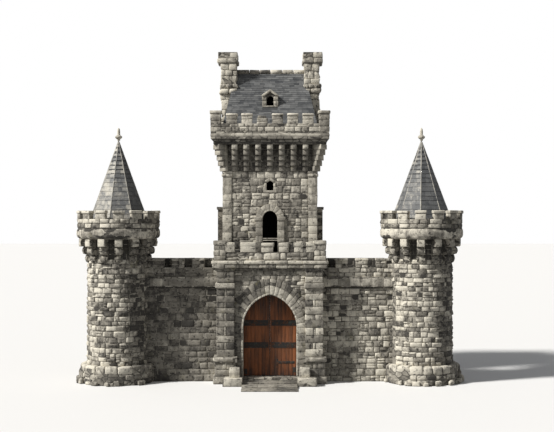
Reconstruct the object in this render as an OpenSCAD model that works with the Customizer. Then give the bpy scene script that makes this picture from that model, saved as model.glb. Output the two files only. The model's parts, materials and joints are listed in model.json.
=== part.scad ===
// Stone gatehouse: a gate block with a machicolated tower, two curtain walls and two round turrets.
// Millimetres. +Z is up, the front faces -Y, and the origin is on the ground in the middle of the block.

/* [Gate block] */
// Half the width of the gate block, to its side faces
block_half_w = 2960; // [2900:10:3100]
// Half the depth of the gate block, to its front and rear wall faces
block_half_d = 3950; // [3900:10:4200]
// Height of the side walls and gate heads, to the underside of the terrace floor
block_wall_top = 6400; // [6300:10:6600]
// Thickness of the terrace floor
terrace_t = 500; // [400:10:600]
// Thickness of the side walls
side_wall_t = 1000; // [900:10:1050]
// Thickness of the wall around the gate arch, in front of the leaves
gate_wall_t = 650; // [550:10:700]
// Depth of the gate head, which carries the tower's wall
gate_head_d = 2000; // [1950:10:2100]

/* [Gate arch] */
// Half the width of the gate opening
gate_half_w = 1525; // [1450:5:1530]
// Height of the springing of the gate arch
gate_spring = 3120; // [3000:10:3200]
// Distance past the centre line of the centres of the gate arch's two arcs
gate_offset = 400; // [300:10:500]
// Width of the ring of voussoirs
ring_w = 480; // [400:10:490]
// Width of the hood band outside the voussoirs
hood_w = 420; // [300:10:450]
// How far the voussoirs stand out of the wall
ring_proud = 60; // [40:5:100]
// How far the hood stands out of the wall
hood_proud = 30; // [20:5:35]
// Springing height of the segmental vault behind the gate arch
vault_spring = 5250; // [5230:10:5350]
// Rise of that vault
vault_rise = 550; // [400:10:650]

/* [Buttresses] */
// Distance from the centre line to the inner side of a buttress
buttress_in = 2020; // [2000:10:2060]
// How far a buttress stands out of the wall
buttress_proud = 250; // [200:10:300]
// Height of the buttress foot, below the pedestal
foot_h = 430; // [350:10:500]
// Height of the underside of the pedestal's cap
pedestal_h = 1220; // [1100:10:1300]
// Height of the top of the pedestal's cap
pedestal_top = 1520; // [1450:10:1600]
// How far the pedestal's foot and cap stand out of the buttress
pedestal_lip = 190; // [150:10:200]
// Height of the underside of the moulding round each buttress
band_low = 5340; // [5250:10:5400]
// Height of that moulding
band_h = 310; // [250:10:400]

/* [Cornice and battlement of the block] */
// Height of the cornice's underside
cornice_low = 6330; // [6200:10:6350]
// Projection of the top course of the cornice
cornice_out = 290; // [250:10:320]
// Height of the parapet below the crenels
gate_parapet_h = 450; // [350:10:550]
// Height of the merlons above the crenels
gate_merlon_h = 550; // [450:10:650]
// Thickness of the parapet
gate_parapet_t = 400; // [300:10:450]
// Width of a crenel
gate_crenel_w = 300; // [250:10:350]
// Height of the corner posts
gate_post_h = 1110; // [1050:10:1250]
// Width of the corner posts
gate_post_w = 620; // [560:10:660]
// Overhang of every coping
coping_out = 40; // [20:5:50]
// Thickness of the copings on the gate and tower battlements
coping_t = 220; // [150:10:250]

/* [Gate leaves] */
// Thickness of a leaf's boards
leaf_t = 100; // [80:5:110]
// How far the leaves lap the arch all round
leaf_lap = 60; // [40:5:70]
// Gap between the meeting edges
leaf_gap = 10; // [10:1:16]
// Gap under the leaves
leaf_clear = 15; // [10:1:25]
// Distance from the arch wall's back to the front of the leaves
leaf_back = 35; // [32:1:40]
// Distance from the edge of a leaf to the middle of its pins
pin_past = 60; // [55:1:65]
// Radius of a hinge pin
pin_r = 20; // [16:1:24]
// Radial clearance of a strap's eye on its pin
pin_clear = 0.05; // [0.03:0.01:0.1]
// Outside radius of a strap's eye
eye_r = 45; // [40:1:48]
// Thickness of the strap irons
strap_t = 15; // [10:1:20]
// Height of the strap irons
strap_h = 320; // [200:10:340]
// Height of the middle of the lower strap
strap_low = 2060; // [1950:10:2300]
// Height of the middle of the upper strap
strap_high = 3320; // [3200:10:3500]

/* [Steps] */
// Height of the passage floor
floor_h = 300; // [270:10:360]
// Height of the threshold above the first step
threshold_h = 150; // [120:10:180]
// Number of steps down to the ground
step_count = 3; // [2:1:4]
// Going of a step
step_going = 1000; // [800:10:1100]
// How much wider each lower step is, on each side
step_spread = 0; // [0:10:60]
// Height of the cheek blocks beside the steps
cheek_h = 430; // [380:10:500]
// Length of the cheek blocks in front of the buttresses
cheek_l = 900; // [700:10:1000]
// Height of the stone on each cheek block
cheek_stone_h = 520; // [400:10:600]
// Width of that stone
cheek_stone_w = 560; // [450:10:600]
// Distance of that stone from the inner side of its block
cheek_set = 150; // [50:10:200]

/* [Curtain walls] */
// Distance from the centre of the block to the front face of the curtain walls
curtain_front = 3300; // [3200:10:3400]
// Thickness of the curtain walls
curtain_t = 1500; // [1400:10:1600]
// Height of the wall walk
walk_h = 5380; // [5300:10:5600]
// Height of the string course below the parapet
string_h = 560; // [400:10:600]
// How far the string course stands out of the wall
string_out = 150; // [100:10:200]
// Height of the parapet below the crenels, above the string course
curtain_parapet_h = 500; // [400:10:600]
// Height of the merlons above the crenels
curtain_merlon_h = 520; // [450:10:650]
// Thickness of the front parapet
curtain_parapet_t = 420; // [350:10:450]
// Thickness of the rear parapet
rear_parapet_t = 300; // [250:10:350]
// Width of a crenel
curtain_crenel_w = 450; // [350:10:550]
// Distance from one crenel to the next
curtain_pitch = 1150; // [1050:10:1250]
// Distance from the centre line to the middle crenel
curtain_mid = 4650; // [4600:10:4800]

/* [Turrets] */
// Distance from the centre line to a turret's axis
turret_x = 8650; // [8500:10:8800]
// Distance from the centre of the block forward to the turrets' axes
turret_y = 3000; // [2950:10:3050]
// Outside radius of the shaft
shaft_r = 1720; // [1680:10:1760]
// Thickness of the shaft's wall
shaft_t = 700; // [550:10:750]
// Radius of the foot of the plinth
plinth_r = 2080; // [2000:10:2150]
// Height of the plinth
plinth_h = 1050; // [900:10:1200]
// Height of the slope at the top of the plinth
plinth_slope_h = 160; // [50:10:500]
// Width of the ledge on top of the plinth
plinth_ledge = 160; // [100:10:240]
// Height of the underside of the corbels
turret_corbel_low = 6780; // [6700:10:6900]
// Height of the underside of the roll moulding
roll_low = 8130; // [8050:10:8200]
// Height of the roll moulding
roll_h = 610; // [550:10:650]
// Radius of the roll moulding
roll_r = 2340; // [2300:10:2380]
// Rounding of its edges
roll_nose = 200; // [150:10:220]
// Radius of the parapet
turret_parapet_r = 2290; // [2260:10:2310]
// Thickness of the parapet
turret_parapet_t = 300; // [250:10:320]
// Height of the parapet below the crenels
turret_parapet_h = 500; // [400:10:600]
// Height of the merlons above the crenels
turret_merlon_h = 450; // [350:10:550]
// Number of merlons, and of corbels, on each turret
turret_bays = 14; // [12:1:16]
// Angle from the front to the nearest merlon and corbel, towards the gate when negative
turret_turn = -8.4; // [-12:0.1:12]
// Angle taken up by a crenel
turret_crenel_deg = 11.7; // [9:0.1:13]
// Width of a turret corbel
turret_corbel_w = 440; // [380:10:480]
// Number of rolls stacked in a turret corbel
turret_corbel_rolls = 3; // [2:1:4]
// Thickness of the turret decks
deck_t = 250; // [200:10:300]

/* [Turret spires] */
// Height of the spire's tip above the ground
spire_top = 13700; // [13000:10:14200]
// Radius of the spire at its foot, to its corners
spire_r = 1850; // [1800:10:1900]
// Number of faces of a spire
spire_faces = 8; // [8:4:12]
// Angle from the front to a spire's nearest corner, positive to the right
spire_turn = -9; // [-22:1:22]
// Height of the shell of a spire, measured straight down
spire_shell = 400; // [300:10:500]
// Height of the finials
finial_h = 740; // [600:10:900]
// Radius of the bulb of a finial
finial_r = 200; // [160:10:240]

/* [Main tower] */
// Half the width and depth of the main tower
tower_half = 2650; // [2600:10:2680]
// Thickness of the tower's walls
tower_t = 700; // [600:10:720]
// Height of the top of the tower's walls
tower_top = 13800; // [13600:10:14000]
// Half the clear width of the upper doorways
door_half_w = 440; // [380:10:480]
// Height of the springing of the upper doorways
door_spring = 9240; // [9150:10:9300]
// Distance past the centre line of the centres of their arches' two arcs
door_offset = 40; // [20:10:80]
// Height of the sills of the side windows
side_sill = 8150; // [8050:10:8250]
// How far the bays round the side windows stand out of the walls
bay_out = 450; // [350:10:500]
// Half the width of those bays
bay_half_w = 800; // [700:10:850]
// Height of a bay's wall above the top of its window
bay_cover = 60; // [40:10:100]
// Height of a bay's cap
bay_cap_h = 160; // [120:10:200]
// Overhang of that cap
bay_cap_out = 60; // [40:10:80]
// Height of the lower guard bar across the upper doorways
bar_low = 7980; // [7900:10:8050]
// Half the width of the small windows
slit_half_w = 200; // [150:10:250]
// Height of the sills of the small windows
slit_sill = 10870; // [10700:10:10950]
// Height of the springing of the small windows
slit_spring = 11220; // [11150:10:11300]
// Width of the dressed surrounds of the doorways
surround_w = 370; // [300:10:400]
// How far the surrounds stand out of the walls
surround_proud = 110; // [80:10:150]
// Height of the underside of the imposts
impost_low = 9130; // [9050:10:9150]
// Height of the imposts
impost_h = 220; // [150:10:250]
// Width of the corner quoins
quoin_w = 480; // [400:10:480]
// How far the quoins stand out of the walls
quoin_proud = 50; // [30:5:60]
// Height of the capitals of the quoins
quoin_cap_h = 300; // [200:10:350]
// Height of the upper floor
upper_floor_h = 10100; // [10000:10:10250]
// Thickness of the upper floor
upper_floor_t = 200; // [150:10:250]
// Thickness of the boards that close the rear doorway and window
board_t = 80; // [60:5:100]
// How far those boards lap the openings all round
board_lap = 100; // [60:10:110]

/* [Tower battlement] */
// Number of corbels on each face of the tower
corbel_count = 7; // [5:2:7]
// Distance from one corbel to the next
corbel_pitch = 675; // [620:5:680]
// Width of a corbel
corbel_w = 330; // [280:10:360]
// Height of the corbels
corbel_h = 1540; // [1400:10:1600]
// Number of rolls stacked in a corbel
corbel_rolls = 4; // [3:1:5]
// Projection of the top roll
corbel_out = 540; // [480:10:560]
// Height of the moulding below the parapet, up to the top of the walls
moulding_h = 300; // [240:10:400]
// Height of the roll on top of that moulding
tower_roll_h = 400; // [350:10:450]
// Half the width of the roof walk, to the inside of the parapet
roof_walk_half = 2940; // [2900:10:2980]
// Thickness of the roof walk
roof_walk_t = 300; // [200:10:320]
// Thickness of the tower's parapet
tower_parapet_t = 400; // [350:10:420]
// Height of the parapet below the crenels
tower_parapet_h = 460; // [400:10:520]
// Height of the merlons above the crenels
tower_merlon_h = 570; // [500:10:650]
// Width of a merlon
tower_merlon_w = 600; // [500:10:620]
// Distance from one merlon to the next
tower_merlon_pitch = 870; // [820:10:880]
// Height lost from the broken merlon
broken_h = 120; // [60:10:300]
// Width of the corner posts
tower_post_w = 580; // [500:10:600]
// Height of the corner posts above the merlons
tower_post_extra = 160; // [100:10:250]

/* [Main roof] */
// Height of the ridge above the roof walk
roof_rise = 3900; // [3600:10:4100]
// Distance from the parapet to the eaves at the front and rear
eave_front = 220; // [150:10:300]
// Distance from the parapet to the eaves at the sides
eave_side = 100; // [60:10:150]
// Thickness of the roof, measured straight down
roof_drop = 260; // [200:10:350]
// Thickness of its hipped ends, measured level
hip_t = 120; // [80:10:160]
// Half the width of the ridge stones
ridge_stone_w = 130; // [90:10:160]
// Height of the ridge stones above the ridge
ridge_stone_h = 140; // [100:10:180]

/* [Chimneys] */
// Width of a chimney
chimney_w = 840; // [760:10:880]
// Gap between a chimney and the copings of the parapet
chimney_clear = 20; // [10:5:60]
// Half the depth of a chimney
chimney_half_d = 700; // [650:10:750]
// Depth of the foot of the weathering below the ridge
weathering_down = 1360; // [1250:10:1450]
// Height of the weathering
weathering_h = 600; // [400:10:700]
// Height of the top of a chimney's shaft above the ridge
chimney_neck = 470; // [400:10:600]
// Height of the cap
chimney_cap_h = 640; // [500:10:700]
// Overhang of the cap to the outside
chimney_cap_out = 200; // [100:10:240]
// Overhang of the cap on its other sides
chimney_cap_side = 80; // [40:10:120]
// Thickness of the walls round the flue
flue_wall = 220; // [180:10:260]
// Depth of the flue below the top
flue_depth = 2500; // [1500:10:3000]

/* [Dormers] */
// Half the width of a dormer
dormer_half_w = 460; // [400:10:500]
// Distance from the middle of the roof to a dormer's face
dormer_face = 1550; // [1500:10:1650]
// Height of a dormer's eaves above the foot of its face
dormer_eave_h = 640; // [600:10:700]
// Height of its gable above its eaves
dormer_gable_h = 320; // [250:10:400]
// Half the width of a dormer's window
dormer_win_half = 205; // [150:10:230]
// Height of the window's sill above the foot of the face
dormer_win_up = 80; // [60:10:120]
// Height of the window's head above its sill
dormer_win_h = 560; // [480:10:600]
// Depth of the blind window in the rear dormer
blind_depth = 200; // [100:10:300]

/* [Hidden] */
$fn = 96;
// Fineness of the large arcs
fine = 480;
// Space left where curved masonry stands against other masonry
bed = 0.3;
// Length by which a cut runs past the faces it opens
over = 10;

// Width of the upright at a leaf's hinge side, and how far it runs past the lap and the upper strap
stile_w = 100;
stile_past = 30;
stile_above = 100;
// Distance from the centre line to the free end of a strap, its arm's length past the stile and thickness
strap_in = 90;
arm_past = 20;
arm_t = 50;
// Height of a strap's eye, its height above the pintle's arm, and the arm's height and half width
eye_h = 120;
pintle_lift = 1;
pintle_arm = 60;
pintle_half = 30;
// Share of the pedestal's lip at its die, between foot and cap
die_share = 0.55;
// How far the cheek blocks stop short of the block's side
cheek_stop = 360;
// How far the gate parapet stands behind the buttresses, and its corner posts past the block's side
gate_parapet_back = 100;
gate_post_past = 170;
// Depth of a turret corbel in the shaft, and how far it stops short of the roll moulding
turret_corbel_bed = 60;
turret_corbel_short = 120;
// Share of a turret merlon's height taken by its coping
turret_coping_share = 0.35;
// Radius of a spire's tip, and of a finial's neck
spire_tip_r = 25;
finial_neck = 60;
// Overhang of the quoins' capitals
quoin_cap_out = 40;
// Overhang of the imposts to the sides and to the front
impost_side = 90;
impost_front = 40;
// Thickness of the guard bars, and the distance between them
bar_t = 45;
bar_pitch = 110;
// Depth of the corner corbels in the wall, and their share of the others' projection
corner_bed = 250;
corner_share = 0.95;
// How far the moulding stands out of the corbels, and the roll out of the parapet
moulding_past = 20;
roll_past = 30;
// Depth of the ridge stones below the ridge, and the share of their width at the top
ridge_dip = 120;
ridge_taper = 0.7;
// Projection of the weathering on a chimney
weathering_out = 50;

hall_half_w = block_half_w - side_wall_t;
terrace_h = block_wall_top + terrace_t;
arch_wall_back = block_half_d - gate_wall_t;
head_back = block_half_d - gate_head_d;
buttress_face = block_half_d + buttress_proud;

leaf_front = arch_wall_back - leaf_back;
leaf_rear = leaf_front - leaf_t;
leaf_foot = floor_h + leaf_clear;
leaf_edge = gate_half_w + leaf_lap + stile_past;
pin_x = leaf_edge + pin_past;
pin_y = leaf_front - leaf_t / 2;
stile_top = strap_high + strap_h / 2 + stile_above;

curtain_back = curtain_front - curtain_t;
string_top = walk_h + string_h;
curtain_crenel_h = string_top + curtain_parapet_h;
curtain_top = curtain_crenel_h + curtain_merlon_h;

shaft_top = roll_low + roll_h - deck_t;
roll_top = roll_low + roll_h;
turret_crenel_h = roll_top + turret_parapet_h;
bay_deg = 360 / turret_bays;
turret_corbel_out = roll_r - shaft_r - turret_corbel_short;

tower_inner = tower_half - tower_t;
roof_walk_top = tower_top + roof_walk_t;
moulding_low = tower_top - moulding_h;
moulding_top = tower_top + tower_roll_h;
corbel_low = moulding_low - corbel_h;
door_top = door_spring + sqrt((door_half_w + door_offset) ^ 2 - door_offset ^ 2);
parapet_out = roof_walk_half + tower_parapet_t;
tower_crenel_h = moulding_top + tower_parapet_h;

eave_half_d = roof_walk_half - eave_front;
eave_half_w = roof_walk_half - eave_side;
ridge_h = roof_walk_top + roof_rise;
chimney_out = roof_walk_half - coping_out - chimney_clear;
chimney_in = chimney_out - chimney_w;
chimney_neck_h = ridge_h + chimney_neck;
dormer_foot = ridge_h - roof_rise * dormer_face / eave_half_d;
dormer_eave = dormer_foot + dormer_eave_h;
dormer_gable = dormer_eave + dormer_gable_h;

gate_parapet_y = buttress_face - gate_parapet_back;
gate_crenel_top = terrace_h + gate_parapet_h;
gate_post_out = block_half_w + gate_post_past;

// Centres of the crenels over the gate, from left to right
gate_crenels = [-1810, -640, 345, 1205];

// Colours of the materials
stone = "#8f8a7e";
dressed = "#a09a8b";
slate = "#4d5560";
oak = "#7a3f22";
iron = "#2b2a28";

// A block given by its lowest and highest corners
module block(low, high) {
    translate(low) cube(high - low);
}

// A block as wide on the left as on the right
module wide_block(half_w, y0, y1, z0, z1) {
    block([-half_w, y0, z0], [half_w, y1, z1]);
}

// Children, and their mirror image on the other side of the centre line
module both_sides() {
    children();
    mirror([1, 0, 0]) children();
}

// Children, and their mirror image at the rear
module both_fronts() {
    children();
    mirror([0, 1, 0]) children();
}

// An elevation, drawn as [x, z], given its thickness from y0 to y1
module across(y0, y1) {
    translate([0, y1, 0]) rotate([90, 0, 0]) linear_extrude(y1 - y0) children();
}

// A section, drawn as [y, z], given its length from x0 to x1
module along(x0, x1) {
    translate([x0, 0, 0]) rotate([90, 0, 90]) linear_extrude(x1 - x0) children();
}

// Elevation of a two-centred opening, whose arcs have their centres at +offset and -offset
module pointed(half, spring, offset, foot) {
    radius = half + offset;
    translate([-half, foot]) square([2 * half, spring - foot]);
    intersection() {
        translate([offset, spring]) circle(radius, $fn = fine);
        translate([-offset, spring]) circle(radius, $fn = fine);
        translate([-half, spring]) square([2 * half, radius]);
    }
}

// Elevation of a round-headed opening
module round_headed(half, spring, foot) {
    translate([-half, foot]) square([2 * half, spring - foot]);
    translate([0, spring]) circle(half);
}

// Section of a corbel: rolls stacked from the foot upward, each standing further out.
// Drawn as [distance from the wall, height], and bedded back by depth.
module corbel_section(rolls, height, out, depth) {
    roll = height / rolls;
    intersection() {
        union() for (k = [0 : rolls - 1]) {
            reach = out * (k + 1) / rolls;
            nose = min(roll * 0.45, reach * 0.9);
            translate([-depth, k * roll]) square([depth + reach - nose, roll]);
            translate([reach - nose, k * roll + roll / 2]) circle(nose);
        }
        translate([-depth, 0]) square([depth + out, height]);
    }
}

// --- Gate block ---------------------------------------------------------

module gate_side_walls() {
    color(stone) both_sides()
        block([hall_half_w, -block_half_d, 0], [block_half_w, block_half_d, block_wall_top]);
}

module gate_jambs() {
    color(stone) both_fronts() both_sides()
        block([gate_half_w, -block_half_d, 0], [hall_half_w, -arch_wall_back, gate_spring]);
}

// The wall over the gate arch, and the segmental vault behind it that carries the tower
module gate_head() {
    vault_r = (hall_half_w * hall_half_w + vault_rise * vault_rise) / (2 * vault_rise);
    difference() {
        wide_block(hall_half_w, -block_half_d, -arch_wall_back, gate_spring, block_wall_top);
        across(-block_half_d - over, -arch_wall_back + over)
            pointed(gate_half_w, gate_spring, gate_offset, gate_spring - over);
    }
    difference() {
        wide_block(hall_half_w, -arch_wall_back, -head_back, vault_spring, block_wall_top);
        across(-arch_wall_back - over, -head_back + over)
            translate([0, vault_spring + vault_rise - vault_r]) circle(vault_r);
    }
}

module front_gate_head() {
    color(stone) gate_head();
}

module rear_gate_head() {
    color(stone) mirror([0, 1, 0]) gate_head();
}

// The proud ring of voussoirs and jamb stones, with the hood band outside it
module gate_arch() {
    foot = floor_h;
    difference() {
        union() {
            across(-block_half_d - ring_proud, -block_half_d)
                pointed(gate_half_w + ring_w, gate_spring, gate_offset, foot);
            intersection() {
                across(-block_half_d - hood_proud, -block_half_d)
                    pointed(gate_half_w + ring_w + hood_w, gate_spring, gate_offset, gate_spring - over);
                wide_block(buttress_in, -buttress_face, 0, gate_spring, block_wall_top);
            }
        }
        across(-block_half_d - ring_proud - over, -block_half_d + over)
            pointed(gate_half_w, gate_spring, gate_offset, foot - over);
    }
}

module front_gate_arch() {
    color(dressed) gate_arch();
}

module rear_gate_arch() {
    color(dressed) mirror([0, 1, 0]) gate_arch();
}

// A layer of a buttress, standing out by lip on each side that shows
module buttress_layer(lip, z0, z1) {
    difference() {
        block([buttress_in - lip, -buttress_face - lip, z0],
              [block_half_w + lip, -curtain_front, z1]);
        wide_block(block_half_w, -block_half_d, 0, z0 - over, z1 + over);
    }
}

module buttress() {
    difference() {
        union() {
            buttress_layer(pedestal_lip, 0, foot_h);
            buttress_layer(pedestal_lip * die_share, foot_h, pedestal_h);
            buttress_layer(pedestal_lip, pedestal_h, pedestal_top);
            block([buttress_in, -buttress_face, pedestal_top],
                  [block_half_w, -block_half_d, cornice_low]);
            block([buttress_in, -buttress_face - ring_proud, band_low],
                  [block_half_w, -block_half_d, band_low + band_h]);
        }
        wide_block(gate_half_w + ring_w, -block_half_d - ring_proud, 0, -over, pedestal_top + over);
    }
}

module gate_buttresses() {
    color(dressed) both_fronts() both_sides() buttress();
}

// One course of the cornice, which breaks forward over the buttresses
module cornice_course(out, z0, z1) {
    difference() {
        union() {
            wide_block(block_half_w + out, -block_half_d - out, block_half_d + out, z0, z1);
            both_sides()
                block([buttress_in - out / 2, -buttress_face - out / 2, z0],
                      [block_half_w + out, buttress_face + out / 2, z1]);
        }
        wide_block(block_half_w, -block_half_d, block_half_d, z0 - over, z1 + over);
    }
}

module gate_cornice() {
    course = (terrace_h - cornice_low) / 3;
    color(dressed) for (k = [0 : 2])
        cornice_course(cornice_out * (k + 1) / 3, cornice_low + course * k, cornice_low + course * (k + 1));
}

module terrace_floor() {
    color(stone) wide_block(block_half_w, -block_half_d, block_half_d, block_wall_top, terrace_h);
}

// A merlon with its coping; long and thick are its half sizes
module merlon(long, thick, height) {
    block([-long, -thick, 0], [long, thick, height - coping_t]);
    block([-long - coping_out, -thick - coping_out, height - coping_t],
          [long + coping_out, thick + coping_out, height]);
}

module gate_battlement() {
    post = gate_post_w / 2;
    run_end = gate_post_out - gate_post_w;
    run_mid = -gate_parapet_y + gate_parapet_t / 2;
    ends = [for (c = gate_crenels) c + gate_crenel_w / 2];
    starts = [for (c = gate_crenels) c - gate_crenel_w / 2];
    low = concat([-run_end], ends);
    high = concat(starts, [run_end]);
    wide_block(run_end, -gate_parapet_y, -gate_parapet_y + gate_parapet_t, terrace_h, gate_crenel_top);
    for (k = [0 : len(low) - 1])
        intersection() {
            translate([(low[k] + high[k]) / 2, run_mid, gate_crenel_top])
                merlon((high[k] - low[k]) / 2, gate_parapet_t / 2, gate_merlon_h);
            wide_block(run_end, -buttress_face, 0, terrace_h, terrace_h + gate_post_h);
        }
    both_sides() {
        translate([gate_post_out - post, -gate_parapet_y + post - coping_out, terrace_h])
            merlon(post, post, gate_post_h);
        block([gate_post_out - gate_parapet_t, -gate_parapet_y + gate_post_w - coping_out, terrace_h],
              [gate_post_out, -tower_half, gate_crenel_top]);
    }
}

module front_battlement() {
    color(dressed) gate_battlement();
}

module rear_battlement() {
    color(dressed) mirror([0, 1, 0]) gate_battlement();
}

module passage_floor() {
    color(dressed) {
        wide_block(hall_half_w, -arch_wall_back, arch_wall_back, 0, floor_h);
        both_fronts() wide_block(gate_half_w, -block_half_d, -arch_wall_back, 0, floor_h);
    }
}

// Steps below the threshold, each lower one longer and wider
module gate_steps() {
    top = floor_h - threshold_h;
    rise = top / step_count;
    color(dressed) both_fronts() for (k = [0 : step_count - 1])
        wide_block(gate_half_w + step_spread * k, -block_half_d - step_going * (k + 1), -block_half_d,
                   top - rise * (k + 1), top - rise * k);
}

// The low blocks beside the steps, each with an upright stone on it
module step_cheeks() {
    cheek_in = gate_half_w + step_spread * (step_count - 1);
    cheek_back = buttress_face + pedestal_lip;
    cheek_out = block_half_w - cheek_stop;
    color(dressed) both_fronts() both_sides() {
        block([cheek_in, -cheek_back - cheek_l, 0], [cheek_out, -cheek_back, cheek_h]);
        block([cheek_in + cheek_set, -cheek_back - cheek_l / 2, cheek_h],
              [cheek_in + cheek_set + cheek_stone_w, -cheek_back, cheek_h + cheek_stone_h]);
    }
}

// --- Gate leaves --------------------------------------------------------

// The right-hand leaf, seen from the front
module leaf() {
    across(-leaf_front, -leaf_rear) {
        intersection() {
            pointed(gate_half_w + leaf_lap, gate_spring, gate_offset, leaf_foot);
            translate([leaf_gap / 2, 0]) square([leaf_edge - leaf_gap / 2, block_wall_top]);
        }
        translate([leaf_edge - stile_w, leaf_foot]) square([stile_w, stile_top - leaf_foot]);
    }
}

// A strap iron: a bar over the boards, turned round the leaf's edge to an eye on the hinge pin
module strap(mid) {
    arm = arm_t / 2;
    difference() {
        union() {
            block([strap_in, -leaf_front - strap_t, mid - strap_h / 2],
                  [leaf_edge, -leaf_front, mid + strap_h / 2]);
            block([leaf_edge, -leaf_front - strap_t, mid - eye_h / 2],
                  [leaf_edge + arm_past, -pin_y + arm, mid + eye_h / 2]);
            block([leaf_edge, -pin_y - arm, mid - eye_h / 2], [pin_x, -pin_y + arm, mid + eye_h / 2]);
            translate([pin_x, -pin_y, mid - eye_h / 2]) cylinder(r = eye_r, h = eye_h);
        }
        translate([pin_x, -pin_y, mid - eye_h / 2 - over])
            cylinder(r = pin_r + pin_clear, h = eye_h + 2 * over);
    }
}

module leaf_straps() {
    strap(strap_low);
    strap(strap_high);
}

module left_leaf() {
    color(oak) mirror([1, 0, 0]) leaf();
}

module right_leaf() {
    color(oak) leaf();
}

module left_leaf_straps() {
    color(iron) mirror([1, 0, 0]) leaf_straps();
}

module right_leaf_straps() {
    color(iron) leaf_straps();
}

// The pins that carry the leaves, each on an arm built into the arch wall
module pintle(mid) {
    seat = mid - eye_h / 2 - pintle_lift;
    translate([pin_x, -pin_y, seat]) cylinder(r = pin_r, h = eye_h + 2 * over);
    block([pin_x - pintle_half, -arch_wall_back, seat - pintle_arm],
          [pin_x + pintle_half, -pin_y + pintle_half, seat]);
}

module gate_pintles() {
    color(iron) both_sides() {
        pintle(strap_low);
        pintle(strap_high);
    }
}

// --- Curtain walls ------------------------------------------------------

// Space taken by a turret's shaft, with a bed of mortar round it
module turret_space(radius, z0, z1) {
    translate([turret_x, -turret_y, z0]) cylinder(r = radius + bed, h = z1 - z0, $fn = fine);
}

// Space taken by the block's cornice and the parapet above it
module cornice_space() {
    wide_block(block_half_w + cornice_out, -block_half_d, block_half_d, cornice_low, curtain_top + over);
}

module curtain_wall() {
    difference() {
        union() {
            block([block_half_w, -curtain_front, 0], [turret_x, -curtain_back, walk_h]);
            block([block_half_w, -curtain_back - rear_parapet_t, walk_h],
                  [turret_x, -curtain_back, curtain_top]);
        }
        turret_space(shaft_r, plinth_h, curtain_top + over);
        turret_space(plinth_r, -over, plinth_h);
        turret_space(roll_r, turret_corbel_low, curtain_top + over);
        cornice_space();
    }
}

module curtain_battlement() {
    parapet_back = -curtain_front + curtain_parapet_t;
    difference() {
        union() {
            block([block_half_w, -curtain_front - string_out, walk_h],
                  [turret_x, parapet_back, string_top]);
            block([block_half_w, -curtain_front, string_top], [turret_x, parapet_back, curtain_top]);
        }
        for (k = [-1 : 1])
            translate([curtain_mid + curtain_pitch * k, 0, 0])
                wide_block(curtain_crenel_w / 2, -curtain_front - string_out - over, parapet_back + over,
                           curtain_crenel_h, curtain_top + over);
        turret_space(shaft_r, walk_h - over, curtain_top + over);
        turret_space(roll_r, turret_corbel_low, curtain_top + over);
        cornice_space();
    }
}

module left_curtain_wall() {
    color(stone) mirror([1, 0, 0]) curtain_wall();
}

module right_curtain_wall() {
    color(stone) curtain_wall();
}

module left_curtain_battlement() {
    color(dressed) mirror([1, 0, 0]) curtain_battlement();
}

module right_curtain_battlement() {
    color(dressed) curtain_battlement();
}

// --- Turrets ------------------------------------------------------------

module at_turret() {
    translate([turret_x, -turret_y, 0]) children();
}

module shaft() {
    difference() {
        at_turret() translate([0, 0, plinth_h]) cylinder(r = shaft_r, h = shaft_top - plinth_h);
        at_turret() translate([0, 0, plinth_h - over]) cylinder(r = shaft_r - shaft_t, h = shaft_top);
    }
}

module left_turret_shaft() {
    color(stone) mirror([1, 0, 0]) shaft();
}

module right_turret_shaft() {
    color(stone) shaft();
}

module turret_plinths() {
    color(stone) both_sides() at_turret() rotate_extrude()
        polygon([[0, 0], [plinth_r, 0], [plinth_r, plinth_h - plinth_slope_h],
                 [shaft_r + plinth_ledge, plinth_h], [0, plinth_h]]);
}

module turret_corbels() {
    color(dressed) both_sides() difference() {
        at_turret() for (k = [0 : turret_bays - 1])
            rotate([0, 0, turret_turn - 90 + bay_deg * k]) translate([shaft_r, 0, turret_corbel_low])
                corbel(turret_corbel_rolls, roll_low - bed - turret_corbel_low, turret_corbel_out,
                       turret_corbel_w, turret_corbel_bed);
        turret_space(shaft_r, 0, shaft_top);
    }
}

// The roll moulding and the parapet, turned round the turret's axis, with crenels cut down into it
module crown() {
    inner = turret_parapet_r - turret_parapet_t;
    merlon_top = turret_crenel_h + turret_merlon_h;
    coping_h = turret_merlon_h * turret_coping_share;
    at_turret() difference() {
        rotate_extrude() union() {
            translate([shaft_r + bed, roll_low]) square([roll_r - roll_nose - shaft_r - bed, roll_h]);
            translate([shaft_r + bed, roll_low + roll_nose])
                square([roll_r - shaft_r - bed, roll_h - 2 * roll_nose]);
            for (z = [roll_low + roll_nose, roll_low + roll_h - roll_nose])
                translate([roll_r - roll_nose, z]) circle(roll_nose);
            translate([inner, roll_low + roll_nose])
                square([turret_parapet_t, merlon_top - roll_low - roll_nose]);
            translate([inner - coping_out, merlon_top - coping_h])
                square([turret_parapet_t + 2 * coping_out, coping_h]);
        }
        for (k = [0 : turret_bays - 1])
            rotate([0, 0, turret_turn - 90 + bay_deg * (k + 0.5) - turret_crenel_deg / 2])
                rotate_extrude(angle = turret_crenel_deg)
                    translate([inner - 2 * coping_out, turret_crenel_h])
                        square([turret_parapet_t + 4 * coping_out, turret_merlon_h + over]);
    }
}

module left_turret_crown() {
    color(dressed) mirror([1, 0, 0]) crown();
}

module right_turret_crown() {
    color(dressed) crown();
}

module turret_decks() {
    color(stone) both_sides() at_turret() translate([0, 0, shaft_top])
        cylinder(r = shaft_r, h = deck_t);
}

module turret_spires() {
    rise = spire_top - roll_top;
    color(slate) for (side = [-1, 1])
        translate([side * turret_x, -turret_y, roll_top]) rotate([0, 0, spire_turn]) difference() {
            cylinder(r1 = spire_r, r2 = spire_tip_r, h = rise, $fn = spire_faces);
            translate([0, 0, -spire_shell])
                cylinder(r1 = spire_r, r2 = spire_tip_r, h = rise, $fn = spire_faces);
        }
}

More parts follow.
